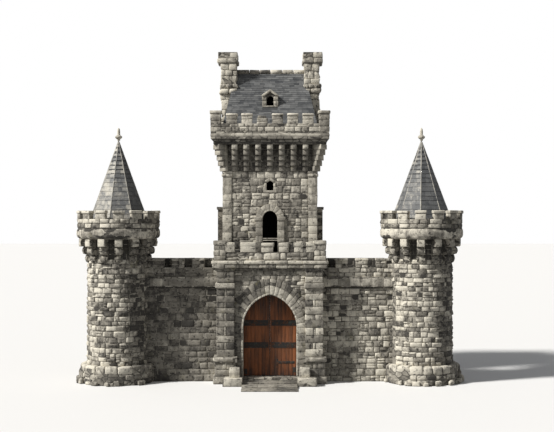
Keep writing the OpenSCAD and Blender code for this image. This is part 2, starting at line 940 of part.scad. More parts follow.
module turret_finials() {
    neck = finial_neck;
    bulb_h = finial_h * 0.42;
    color(dressed) both_sides() at_turret() translate([0, 0, spire_top]) rotate_extrude()
        polygon([[0, 0], [neck, 0], [neck, bulb_h * 0.15], [finial_r, bulb_h * 0.45],
                 [finial_r, bulb_h * 0.7], [neck, bulb_h], [neck * 0.8, bulb_h * 1.4], [0, finial_h]]);
}

// --- Main tower ---------------------------------------------------------

module tower_gable_wall() {
    difference() {
        wide_block(tower_half, -tower_half, -tower_inner, terrace_h, tower_top);
        across(-tower_half - over, -tower_inner + over) {
            pointed(door_half_w, door_spring, door_offset, terrace_h - over);
            round_headed(slit_half_w, slit_spring, slit_sill);
        }
    }
}

module tower_front_wall() {
    color(stone) tower_gable_wall();
}

module tower_back_wall() {
    color(stone) mirror([0, 1, 0]) tower_gable_wall();
}

module tower_side_walls() {
    color(stone) both_sides() difference() {
        block([tower_inner, -tower_inner, terrace_h], [tower_half, tower_inner, tower_top]);
        rotate([0, 0, 90]) across(-tower_half - over, -tower_inner + over)
            pointed(door_half_w, door_spring, door_offset, side_sill);
    }
}

module tower_quoins() {
    inner = tower_half + quoin_proud - quoin_w;
    face = tower_half + quoin_proud;
    cap = face + quoin_cap_out;
    color(dressed) both_fronts() both_sides() difference() {
        union() {
            block([inner, -face, terrace_h], [face, -inner, corbel_low]);
            block([inner, -cap, corbel_low - quoin_cap_h], [cap, -inner, corbel_low]);
        }
        wide_block(tower_half, -tower_half, 0, 0, tower_top);
    }
}

// Jambs, arch ring and imposts round a doorway
module surround() {
    outer = door_half_w + surround_w;
    difference() {
        union() {
            across(-tower_half - surround_proud, -tower_half)
                pointed(outer, door_spring, door_offset, terrace_h);
            wide_block(outer + impost_side, -tower_half - surround_proud - impost_front, -tower_half,
                       impost_low, impost_low + impost_h);
        }
        across(-tower_half - surround_proud - impost_front - over, -tower_half + over)
            pointed(door_half_w, door_spring, door_offset, terrace_h - over);
    }
}

// The bay round a side window, from the terrace up to a flat cap
module bay() {
    face = -tower_half - bay_out;
    top = door_top + bay_cover;
    difference() {
        union() {
            wide_block(bay_half_w, face, -tower_half, terrace_h, top);
            wide_block(bay_half_w + bay_cap_out, face - bay_cap_out, -tower_half, top, top + bay_cap_h);
        }
        across(face - over, -tower_half + over)
            pointed(door_half_w, door_spring, door_offset, side_sill);
    }
}

module opening_surrounds() {
    face = -tower_half - surround_proud;
    color(dressed) {
        both_fronts() {
            surround();
            for (k = [0 : 1])
                wide_block(door_half_w, face, face + bar_t,
                           bar_low + bar_pitch * k, bar_low + bar_pitch * k + bar_t);
        }
        both_sides() rotate([0, 0, 90]) bay();
    }
}

// The corbels that carry the overhanging parapet, and the diagonal ones at the corners
module tower_corbels() {
    height = moulding_low - bed - corbel_low;
    half = (corbel_count - 1) / 2;
    color(dressed) {
        for (turn = [0 : 3]) rotate([0, 0, 90 * turn]) for (k = [-half : half])
            translate([corbel_pitch * k, -tower_half, corbel_low]) rotate([0, 0, -90])
                corbel(corbel_rolls, height, corbel_out, corbel_w, 0);
        difference() {
            for (turn = [0 : 3]) rotate([0, 0, 90 * turn]) translate([tower_half, -tower_half, corbel_low])
                rotate([0, 0, -45])
                    corbel(corbel_rolls, height, corbel_out * corner_share, corbel_w, corner_bed);
            wide_block(tower_half, -tower_half, tower_half, 0, tower_top);
        }
    }
}

// A corbel standing out along +X from a wall face at x = 0
module corbel(rolls, height, out, width, depth) {
    translate([0, width / 2, 0]) rotate([90, 0, 0]) linear_extrude(width)
        corbel_section(rolls, height, out, depth);
}

// A square ring between two half widths
module ring(inner, outer, z0, z1) {
    difference() {
        wide_block(outer, -outer, outer, z0, z1);
        wide_block(inner, -inner, inner, z0 - over, z1 + over);
    }
}

module parapet_moulding() {
    color(dressed) {
        ring(tower_half, tower_half + corbel_out + moulding_past, moulding_low, tower_top);
        ring(roof_walk_half, parapet_out + roll_past, tower_top, moulding_top);
    }
}

module tower_parapet() {
    color(dressed) ring(roof_walk_half, parapet_out, moulding_top, tower_crenel_h);
}

// The merlons and the corner posts, one of the front merlons broken off short
module tower_merlons() {
    long = tower_merlon_w / 2;
    thick = tower_parapet_t / 2;
    mid = roof_walk_half + thick;
    post = tower_post_w / 2;
    color(dressed) for (turn = [0 : 3]) rotate([0, 0, 90 * turn]) {
        for (k = [-2.5 : 2.5])
            translate([tower_merlon_pitch * k, -mid, tower_crenel_h])
                merlon(long, thick, tower_merlon_h - (turn == 0 && k == -0.5 ? broken_h : 0));
        translate([parapet_out - post + coping_out, -parapet_out + post - coping_out, tower_crenel_h])
            merlon(post, post, tower_merlon_h + tower_post_extra);
    }
}

module upper_floor() {
    color(oak)
        wide_block(tower_inner, -tower_inner, tower_inner, upper_floor_h - upper_floor_t, upper_floor_h);
}

// The closed door and shutter in the rear openings of the tower, on the inner face of the wall
module rear_boards() {
    color(oak) {
        wide_block(door_half_w + board_lap, tower_inner - board_t, tower_inner,
                   terrace_h, door_top + board_lap);
        wide_block(slit_half_w + board_lap, tower_inner - board_t, tower_inner,
                   slit_sill - board_lap, slit_spring + slit_half_w + board_lap);
    }
}

module roof_walk() {
    color(stone) wide_block(roof_walk_half, -roof_walk_half, roof_walk_half, tower_top, roof_walk_top);
}

// --- Main roof ----------------------------------------------------------

// The steep slopes to the front and back, as a long gable
module gable_slopes(drop) {
    foot = roof_walk_top - drop;
    along(-eave_half_w, eave_half_w)
        polygon([[-eave_half_d, foot], [eave_half_d, foot], [0, ridge_h - drop]]);
}

// The hipped ends, which rise to the chimneys
module hip_slopes(drop, inset) {
    foot = roof_walk_top - drop;
    wide = eave_half_w - inset;
    narrow = chimney_in - inset;
    across(-eave_half_d, eave_half_d)
        polygon([[-wide, foot], [wide, foot], [narrow, ridge_h - drop], [-narrow, ridge_h - drop]]);
}

// The hipped space under the roof's upper face, or under its lower one
module roof_form(drop, inset) {
    intersection() {
        gable_slopes(drop);
        hip_slopes(drop, inset);
    }
}

module main_roof() {
    color(slate) difference() {
        roof_form(0, 0);
        roof_form(roof_drop, hip_t);
        chimney_space();
        dormer_window(dormer_face - slope_y(dormer_gable));
    }
}

// Distance from the ridge line to the upper face of the front slope, at a height
function slope_y(z) = eave_half_d * (ridge_h - z) / roof_rise;

module ridge_stones() {
    top = ridge_h + ridge_stone_h;
    color(dressed) difference() {
        along(-chimney_in, chimney_in)
            polygon([[-ridge_stone_w, ridge_h - ridge_dip], [ridge_stone_w, ridge_h - ridge_dip],
                     [ridge_stone_w * ridge_taper, top], [-ridge_stone_w * ridge_taper, top]]);
        gable_slopes(0);
    }
}

module chimney_space() {
    both_sides() {
        block([chimney_in, -chimney_half_d, 0], [chimney_out, chimney_half_d, chimney_neck_h]);
        weathering();
    }
}

// The band part-way up a chimney that stands out from its sides
module weathering() {
    foot = ridge_h - weathering_down;
    half_d = chimney_half_d + weathering_out;
    block([chimney_in, -half_d, foot], [chimney_out + weathering_out, half_d, foot + weathering_h]);
}

module chimney() {
    top = chimney_neck_h + chimney_cap_h;
    cap_y = chimney_half_d + chimney_cap_side;
    flue_y = chimney_half_d - flue_wall;
    difference() {
        union() {
            block([chimney_in, -chimney_half_d, roof_walk_top],
                  [chimney_out, chimney_half_d, chimney_neck_h]);
            weathering();
            block([chimney_in - chimney_cap_side, -cap_y, chimney_neck_h],
                  [chimney_out + chimney_cap_out, cap_y, top]);
        }
        block([chimney_in + flue_wall, -flue_y, top - flue_depth],
              [chimney_out - flue_wall, flue_y, top + over]);
    }
}

module chimneys() {
    color(stone) both_sides() chimney();
}

// A dormer over the front slope of the roof
module dormer() {
    difference() {
        across(-dormer_face, -slope_y(dormer_gable))
            polygon([[-dormer_half_w, dormer_foot - over], [dormer_half_w, dormer_foot - over],
                     [dormer_half_w, dormer_eave], [0, dormer_gable], [-dormer_half_w, dormer_eave]]);
        gable_slopes(0);
    }
}

// The opening of the front dormer's window, cut to a depth from its face
module dormer_window(depth) {
    sill = dormer_foot + dormer_win_up;
    across(-dormer_face - over, depth - dormer_face)
        round_headed(dormer_win_half, sill + dormer_win_h - dormer_win_half, sill);
}

module dormers() {
    color(dressed) {
        difference() {
            dormer();
            dormer_window(dormer_face - slope_y(dormer_gable));
        }
        mirror([0, 1, 0]) difference() {
            dormer();
            dormer_window(blind_depth);
        }
    }
}

gate_side_walls();
gate_jambs();
front_gate_head();
rear_gate_head();
front_gate_arch();
rear_gate_arch();
gate_buttresses();
gate_cornice();
terrace_floor();
front_battlement();
rear_battlement();
passage_floor();
gate_steps();
step_cheeks();
left_leaf();
left_leaf_straps();
right_leaf();
right_leaf_straps();
gate_pintles();
left_curtain_wall();
right_curtain_wall();
left_curtain_battlement();
right_curtain_battlement();
left_turret_shaft();
right_turret_shaft();
turret_plinths();
turret_corbels();
left_turret_crown();
right_turret_crown();
turret_decks();
turret_spires();
turret_finials();
tower_front_wall();
tower_back_wall();
tower_side_walls();
tower_quoins();
opening_surrounds();
tower_corbels();
parapet_moulding();
tower_parapet();
tower_merlons();
upper_floor();
rear_boards();
roof_walk();
main_roof();
ridge_stones();
chimneys();
dormers();
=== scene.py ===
"""Finish of a stone gatehouse: stones, slates, boards and irons laid over the construction model.

A stone is a small surface worked out on a grid. It is drawn in the coordinates of the wall that
it belongs to, (along, up, out), and a placing function turns those into the shared frame. All
lengths are in metres. Everything is laid out from the construction model's own boxes, from the
sizes in the panel and from the named places below them.

A tone is given as (middle, spread): each stone draws its own from middle - spread to middle +
spread, and 0 is dark, 1 pale. Below 0 is shade.
"""

import json
import math

import bpy
import numpy as np
from bpy.props import FloatProperty, FloatVectorProperty, PointerProperty
from bpy.types import Operator, Panel, PropertyGroup
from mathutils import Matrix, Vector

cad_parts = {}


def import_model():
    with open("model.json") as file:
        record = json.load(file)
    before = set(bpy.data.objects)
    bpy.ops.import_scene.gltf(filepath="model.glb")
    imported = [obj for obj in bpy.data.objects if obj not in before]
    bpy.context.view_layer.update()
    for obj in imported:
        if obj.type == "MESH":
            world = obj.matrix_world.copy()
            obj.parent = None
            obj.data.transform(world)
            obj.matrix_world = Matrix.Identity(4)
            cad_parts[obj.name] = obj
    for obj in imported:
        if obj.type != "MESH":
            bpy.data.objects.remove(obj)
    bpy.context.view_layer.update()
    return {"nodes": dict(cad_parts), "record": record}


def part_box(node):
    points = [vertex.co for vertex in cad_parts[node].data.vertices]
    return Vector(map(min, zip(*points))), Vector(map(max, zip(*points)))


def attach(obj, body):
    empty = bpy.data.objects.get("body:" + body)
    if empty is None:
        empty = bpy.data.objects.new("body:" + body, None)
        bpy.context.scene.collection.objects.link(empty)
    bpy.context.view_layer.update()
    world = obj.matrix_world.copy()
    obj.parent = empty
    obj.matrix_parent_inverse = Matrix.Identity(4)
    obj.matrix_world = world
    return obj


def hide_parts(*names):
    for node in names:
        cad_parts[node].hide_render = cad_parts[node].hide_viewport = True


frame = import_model()

bl_info = {
    "name": "Stone Gatehouse Finish",
    "version": (1, 0, 0),
    "blender": (4, 5, 0),
    "location": "View3D > Sidebar > Gatehouse",
    "description": "Lays stones, slates, boards and irons over a gatehouse and sets its studio",
    "category": "Add Mesh",
}


# --- Sizes and colours that a user would change ---

def length(name, default, description):
    """A length in metres for a property group."""
    return FloatProperty(name=name, description=description, default=default, min=0.0, unit="LENGTH")


def colour(name, default, description):
    """A linear colour for a property group."""
    return FloatVectorProperty(name=name, description=description, default=default, size=3,
                               subtype="COLOR", min=0.0, max=1.0)


class GatehouseSizes(PropertyGroup):
    """Sizes of the stones, slates and boards, and the openings that they are laid round."""
    joint: length("Joint", 0.012, "Width of the mortar joints")
    curtain_course: length("Curtain course", 0.36, "Height of a course on the curtain walls")
    curtain_stone: length("Curtain stone", 0.62, "Length of a stone on the curtain walls")
    turret_course: length("Turret course", 0.27, "Height of a course on the turrets")
    turret_stone: length("Turret stone", 0.46, "Length of a stone on the turrets")
    rubble_course: length("Rubble course", 0.36, "Height of a band of rubble on the main tower")
    rubble_stone: length("Rubble stone", 0.44, "Length of a rubble stone on the main tower")
    block_course: length("Block course", 0.34, "Height of a course on the gate block")
    slate_row: length("Slate row", 0.15, "Exposed height of a slate on the main roof")
    slate_width: length("Slate width", 0.40, "Width of a slate on the main roof")
    spire_row: length("Spire slate row", 0.27, "Exposed height of a slate on a spire")
    spire_turn: FloatProperty(name="Spire turn", default=-9.0,
                              description="Degrees from the front to a spire's nearest corner")
    turret_turn: FloatProperty(name="Turret turn", default=-8.4,
                               description="Degrees that the turret heads are turned to the gate")
    board: length("Board", 0.21, "Width of a board in the gate leaves")
    gate_half: length("Gate half width", 1.525, "Half the clear width of the gate")
    gate_spring: length("Gate springing", 3.12, "Height of the springing of the gate arch")
    gate_offset: length("Gate arc offset", 0.40, "Distance of the arch's centres past the middle")
    ring: length("Voussoir depth", 0.48, "Depth of the ring of voussoirs")
    hood: length("Hood depth", 0.42, "Depth of the band of stones outside the voussoirs")
    buttress_in: length("Buttress side", 2.02, "Distance from the middle to a buttress")
    door_half: length("Doorway half width", 0.44, "Half the clear width of the upper doorways")
    door_offset: length("Doorway arc offset", 0.04, "Distance of its centres past the middle")
    door_spring: length("Doorway springing", 9.24, "Height of the springing of the upper doorways")
    surround: length("Surround width", 0.37, "Width of the dressed stone round the upper doorways")
    slit_half: length("Slit half width", 0.20, "Half the clear width of the small windows")
    slit_sill: length("Slit sill", 10.87, "Height of the sills of the small windows")
    slit_spring: length("Slit springing", 11.22, "Height of the springing of the small windows")


class GatehouseStudio(PropertyGroup):
    """The studio's light."""
    key_turn: FloatProperty(name="Key turn", default=math.radians(67.0), subtype="ANGLE",
                            description="Angle of the key light to the left of the front")
    key_lift: FloatProperty(name="Key height", default=math.radians(40.0), subtype="ANGLE",
                            description="Angle of the key light above level")
    key_size: FloatProperty(name="Key size", default=math.radians(7.0), subtype="ANGLE",
                            description="Angle across the key light, which softens shadows")
    key_power: FloatProperty(name="Key power", default=4.8, min=0.0,
                             description="Strength of the key light")
    fill: FloatProperty(name="Fill", default=0.20, min=0.0,
                        description="Strength of the light from all round")


class GatehouseColours(PropertyGroup):
    """Colours of the materials."""
    # Dark stone also colours the tones painted as shade on the sides away from the key light
    stone_dark: colour("Dark stone", (0.052, 0.048, 0.042), "Darkest stones and weathered faces")
    stone_mid: colour("Stone", (0.250, 0.232, 0.198), "Most stones")
    stone_light: colour("Light stone", (0.680, 0.640, 0.545), "Palest stones")
    lichen: colour("Lichen", (0.165, 0.150, 0.070), "Lichen and moss on the stone")
    mortar: colour("Mortar", (0.095, 0.089, 0.076), "Shaded mortar in the joints")
    slate_dark: colour("Dark slate", (0.036, 0.039, 0.043), "Darkest slates")
    slate_light: colour("Light slate", (0.200, 0.203, 0.203), "Palest slates")
    oak_dark: colour("Dark oak", (0.040, 0.017, 0.009), "Dark streaks in the boards")
    oak_red: colour("Red oak", (0.270, 0.092, 0.032), "Face of the boards")
    iron: colour("Iron", (0.026, 0.024, 0.022), "Blackened iron")
    rust: colour("Rust", (0.110, 0.042, 0.018), "Rust on the iron")
    patina: colour("Patina", (0.085, 0.105, 0.090), "Grey-green bloom on the iron")
    planks: colour("Planks", (0.200, 0.130, 0.075), "Upper floor")
    studio: colour("Studio", (0.80, 0.80, 0.80), "Plain floor, as it shows")
    bounce: colour("Bounce", (0.32, 0.32, 0.32), "Plain floor, as it lights the gatehouse")


# --- Places that several pieces share, in metres ---

SIDES = ((-1, "left"), (1, "right"))
CURTAIN_INNER, CURTAIN_OUTER = 2.9, 7.1       # ends of the curtain walls' stones
CURTAIN_CRENELS = (3.5, 4.65, 5.8)            # middles of the crenels of a curtain wall
CRENEL_HALF = 0.225                           # half their width
TURRET_TEETH = 14                             # corbels, and merlons, round a turret
TURRET_CRENEL = 11.7                          # degrees across a crenel there
SPIRE_FACES, SPIRE_RADIUS = 8, 1.85
IMPOST_LOW, IMPOST_TOP = 9.12, 9.36           # of the tower's doorways
TERRACE_WALL_TOP = 7.85                       # below it the terrace hides the tower's wall
BAY_TOP = 9.93                                # of the shallow bays in the tower's sides
WALL_PATH = 13.8                              # where the tower's cove ends and its roll begins
CHIMNEY_HALF = 0.70                           # half a chimney's size from front to back
STRAP_MIDDLES, STRAP_TALL = (2.06, 3.32), 0.32
DORMER_EAVE_DROP = 0.32                       # from a dormer's top to its eaves
SHADE = -0.6                                  # the darkest tone, painted shade, and that of missing stones' hollows


def low(node):
    """Lowest corner of a construction node, in metres."""
    return np.array(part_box(node)[0], float)


def high(node):
    """Highest corner of a construction node, in metres."""
    return np.array(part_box(node)[1], float)


def world(p):
    """The placing function of stones that are given straight in the shared frame."""
    return p


def facing(quarter, centre=(0.0, 0.0)):
    """A placing function for an upright wall.

    Along runs to the right as one faces the wall, up is +Z and out is the distance from the
    centre towards the viewer. Quarter 0 faces the front, 1 the right, 2 the rear, 3 the left;
    fractions of a quarter face in between.
    """
    turn = quarter * math.pi / 2
    right = np.array([math.cos(turn), math.sin(turn), 0.0])
    out = np.array([math.sin(turn), -math.cos(turn), 0.0])
    return tilted([centre[0], centre[1], 0.0], right, [0.0, 0.0, 1.0], out)


def tilted(origin, right, up, out=None):
    """A placing function for a plane: each coordinate is carried along its own direction. Out is
    square to the other two when it isn't given."""
    right, up = (np.asarray(v, float) / np.linalg.norm(v) for v in (right, up))
    out = np.cross(right, up) if out is None else np.asarray(out, float)
    origin = np.asarray(origin, float)

    def place(p):
        return origin + p[..., 0:1] * right + p[..., 1:2] * up + p[..., 2:3] * out
    return place


def mitred(quarter, half):
    """A placing function for one side of a square ring: along is measured at the given half
    width and stretched in step with out, so that neighbouring sides meet on the diagonals."""
    flat = facing(quarter)

    def place(p):
        return flat(np.stack([p[..., 0] * p[..., 2] / half, p[..., 1], p[..., 2]], axis=-1))
    return place


def drum(centre, radius):
    """A placing function for a round wall: along is measured on the circle of the given radius,
    from the front towards +X, and out is the distance from the axis."""
    def place(p):
        angle = p[..., 0] / radius
        return np.stack([centre[0] + p[..., 2] * np.sin(angle),
                         centre[1] - p[..., 2] * np.cos(angle), p[..., 1]], axis=-1)
    return place


def arch(side, half, offset, spring, flat):
    """A placing function for the stones of a pointed arch, and the length of its inner arc.

    Along runs up one arc from the springing, up runs away from the arc's centre, starting at the
    inner edge, and out is as in the flat wall. Each circle ends on the centre line, so the stones
    of the two arcs meet in a straight joint at the top.
    """
    inner = half + offset
    total = inner * math.acos(offset / inner)

    def place(p):
        radius = inner + p[..., 1]
        angle = p[..., 0] / total * np.arccos(np.clip(offset / radius, -1.0, 1.0))
        return flat(np.stack([side * (radius * np.cos(angle) - offset),
                              spring + radius * np.sin(angle), p[..., 2]], axis=-1))
    return place, total


def sided(side, a, b):
    """The span from a to b on the right of the centre line, or its mirror image on the left."""
    return (a, b) if side > 0 else (-b, -a)


def turrets():
    """The side, name, axis and shaft's radius of each turret."""
    for side, name in SIDES:
        shaft = name + "_turret_shaft"
        yield side, name, ((low(shaft) + high(shaft)) / 2)[:2], (high(shaft) - low(shaft))[0] / 2


# --- Laying out ---

def pairs(edges):
    """Each edge with the next one: the two ends of every piece between them."""
    return zip(edges[:-1], edges[1:])


def within(edges, gap):
    """The lower and the upper ends of the pieces between edges, all drawn in by a gap."""
    return edges[:-1] + gap, edges[1:] - gap


def spread_of(stones, gap, top_gap=None):
    """The spans along and up of stones given as (along0, along1, up0, up1), drawn in by a gap.
    The tops may have a gap of their own."""
    a, b, z0, z1 = stones.T
    return (a + gap, b - gap), (z0 + gap, z1 - (gap if top_gap is None else top_gap))


def cuts(rng, a, b, size, vary=0.25):
    """Edges that divide a to b into pieces of about one size, each varied by a share."""
    count = max(1, round((b - a) / size))
    weights = 1.0 + vary * (2.0 * rng.random(count) - 1.0)
    return a + (b - a) * np.concatenate([[0.0], np.cumsum(weights)]) / weights.sum()


def free_spans(a, b, blocked):
    """The parts of a to b that none of the blocked spans covers."""
    spans = [(a, b)]
    for c, d in blocked:
        parts = [part for s, e in spans for part in ((s, min(e, c)), (max(s, d), e))]
        spans = [part for part in parts if part[1] > part[0]]
    return spans


def lay(rng, along, up, course, stone, blocked=None, stack=0.0, vary=0.35):
    """Lays courses over a stretch of wall and gives each stone as (along0, along1, up0, up1).

    blocked(up0, up1) lists the spans that a course leaves out. A share of the stones, stack, is
    made of two or three smaller ones, as in rubble.
    """
    stones = []
    narrowest = 0.06
    for z0, z1 in pairs(cuts(rng, *up, course, 0.22)):
        for a, b in free_spans(*along, blocked(z0, z1) if blocked else ()):
            if b - a < narrowest:
                continue
            for c, d in pairs(cuts(rng, a, b, stone * rng.uniform(0.85, 1.15), vary)):
                if rng.random() >= stack:
                    stones.append((c, d, z0, z1))
                    continue
                middle = z0 + (z1 - z0) * rng.uniform(0.35, 0.65)
                part = c + (d - c) * rng.uniform(0.4, 0.6)
                small = rng.random() < 0.4 and d - c > stone * 0.9
                for e, f in ((c, part), (part, d)) if small else ((c, d),):
                    stones.append((e, f, z0, middle))
                stones.append((c, d, middle, z1))
    return np.array(stones, float).reshape(-1, 4)


def pillar(rng, x, y, levels, thick, stone, swell):
    """Courses of whole stones round a rectangle. The stones along x run through to the corners in
    one course and those along y in the next. Each outer face is swelled at random. Gives the
    stones' spans along x, y and z, as Pile.blocks takes them."""
    stones = []
    gap, narrowest = 0.006, 0.05
    thick = min(thick, (x[1] - x[0]) / 2, (y[1] - y[0]) / 2)
    for k, (z0, z1) in enumerate(pairs(levels)):
        for axis, (run, other) in enumerate(((x, y), (y, x))):
            through = k % 2 == axis
            a, b = run if through else (run[0] + thick, run[1] - thick)
            if b - a < narrowest:
                continue
            for c0, c1, face in ((other[0], other[0] + thick, -1), (other[1] - thick, other[1], 1)):
                for e0, e1 in pairs(cuts(rng, a, b, stone, 0.3)):
                    grow = rng.uniform(*swell)
                    across = (c0 - grow, c1) if face < 0 else (c0, c1 + grow)
                    u0 = e0 - (rng.uniform(*swell) if e0 == run[0] else -gap)
                    u1 = e1 + (rng.uniform(*swell) if e1 == run[1] else -gap)
                    spans = ((u0, u1), across) if axis == 0 else (across, (u0, u1))
                    stones.append((*spans, (z0 + gap, z1 - gap)))
    return np.array(stones).transpose(1, 2, 0)


def arc_half_width(half, offset, spring, z):
    """Half the width of a pointed opening at height z: from each arc's circle, less its offset."""
    rise = np.clip(z - spring, 0.0, half + offset)
    return float(np.sqrt((half + offset) ** 2 - rise ** 2) - offset)


LATTICE_PRIMES, SEED_PRIME, MIXER = (73856093, 19349663, 83492791), 40503, 1274126177


def smooth_noise(p, size, seed):
    """Noise from -1 to 1 at each point: random values on a lattice of the given size, blended
    with smooth weights between the eight lattice points around."""
    q = p / size
    cell = np.floor(q).astype(np.int64)
    f = q - cell
    w = f * f * (3.0 - 2.0 * f)
    total = np.zeros(p.shape[:-1])
    for corner in np.ndindex(2, 2, 2):
        c = (cell + np.array(corner)) * LATTICE_PRIMES
        mixed = c[..., 0] ^ c[..., 1] ^ c[..., 2] ^ (seed * SEED_PRIME)
        mixed = ((mixed ^ (mixed >> 13)) * MIXER) & 0x7FFFFFFF
        value = ((mixed ^ (mixed >> 15)) & 0xFFFF) / 32767.5 - 1.0
        weight = np.ones(p.shape[:-1])
        for axis in range(3):
            weight = weight * (w[..., axis] if corner[axis] else 1.0 - w[..., axis])
        total += weight * value
    return total


def round_profile(inner, outer, up0, up1, r, steps=4):
    """An open profile of (out, up) points: out along the underside, round a quarter circle, up
    the face, round another and back in along the top."""
    turn = np.linspace(0.0, math.pi / 2, steps)
    lower = np.stack([outer - r + r * np.sin(turn), up0 + r - r * np.cos(turn)], axis=1)
    upper = np.stack([outer - r + r * np.cos(turn), up1 - r + r * np.sin(turn)], axis=1)
    return np.concatenate([[[inner, up0]], lower, upper, [[inner, up1]]])


# --- Stones as meshes ---

FACE_STOPS = np.array([-1.0, -0.86, -0.40, 0.40, 0.86, 1.0])
FACE_SWELL = np.array([0.0, 0.80, 1.0, 1.0, 0.80, 0.0])


def grid_quads(rows, columns):
    """Corner numbers of the quads of a grid, which face the viewer when rows run along."""
    i, j = np.meshgrid(np.arange(rows - 1), np.arange(columns - 1), indexing="ij")
    a = (i * columns + j).ravel()
    return np.stack([a, a + columns, a + columns + 1, a + 1], axis=1)


def block_template():
    """A box whose faces are cut 3 by 3: for each point its side on each axis, whether it lies on
    that axis's face, and the quads."""
    index, quads = {}, []
    for axis in range(3):
        u, v = (axis + 1) % 3, (axis + 2) % 3
        for end in (0, 3):
            for i, j in np.ndindex(3, 3):
                ring = []
                for du, dv in ((0, 0), (1, 0), (1, 1), (0, 1)):
                    key = [0, 0, 0]
                    key[axis], key[u], key[v] = end, i + du, j + dv
                    ring.append(index.setdefault(tuple(key), len(index)))
                quads.append(ring if end else ring[::-1])
    keys = np.array(list(index))
    return np.where(keys > 1, 1.0, -1.0), (keys == 0) | (keys == 3), np.array(quads)


BLOCK_SIDE, BLOCK_FACE, BLOCK_QUADS = block_template()


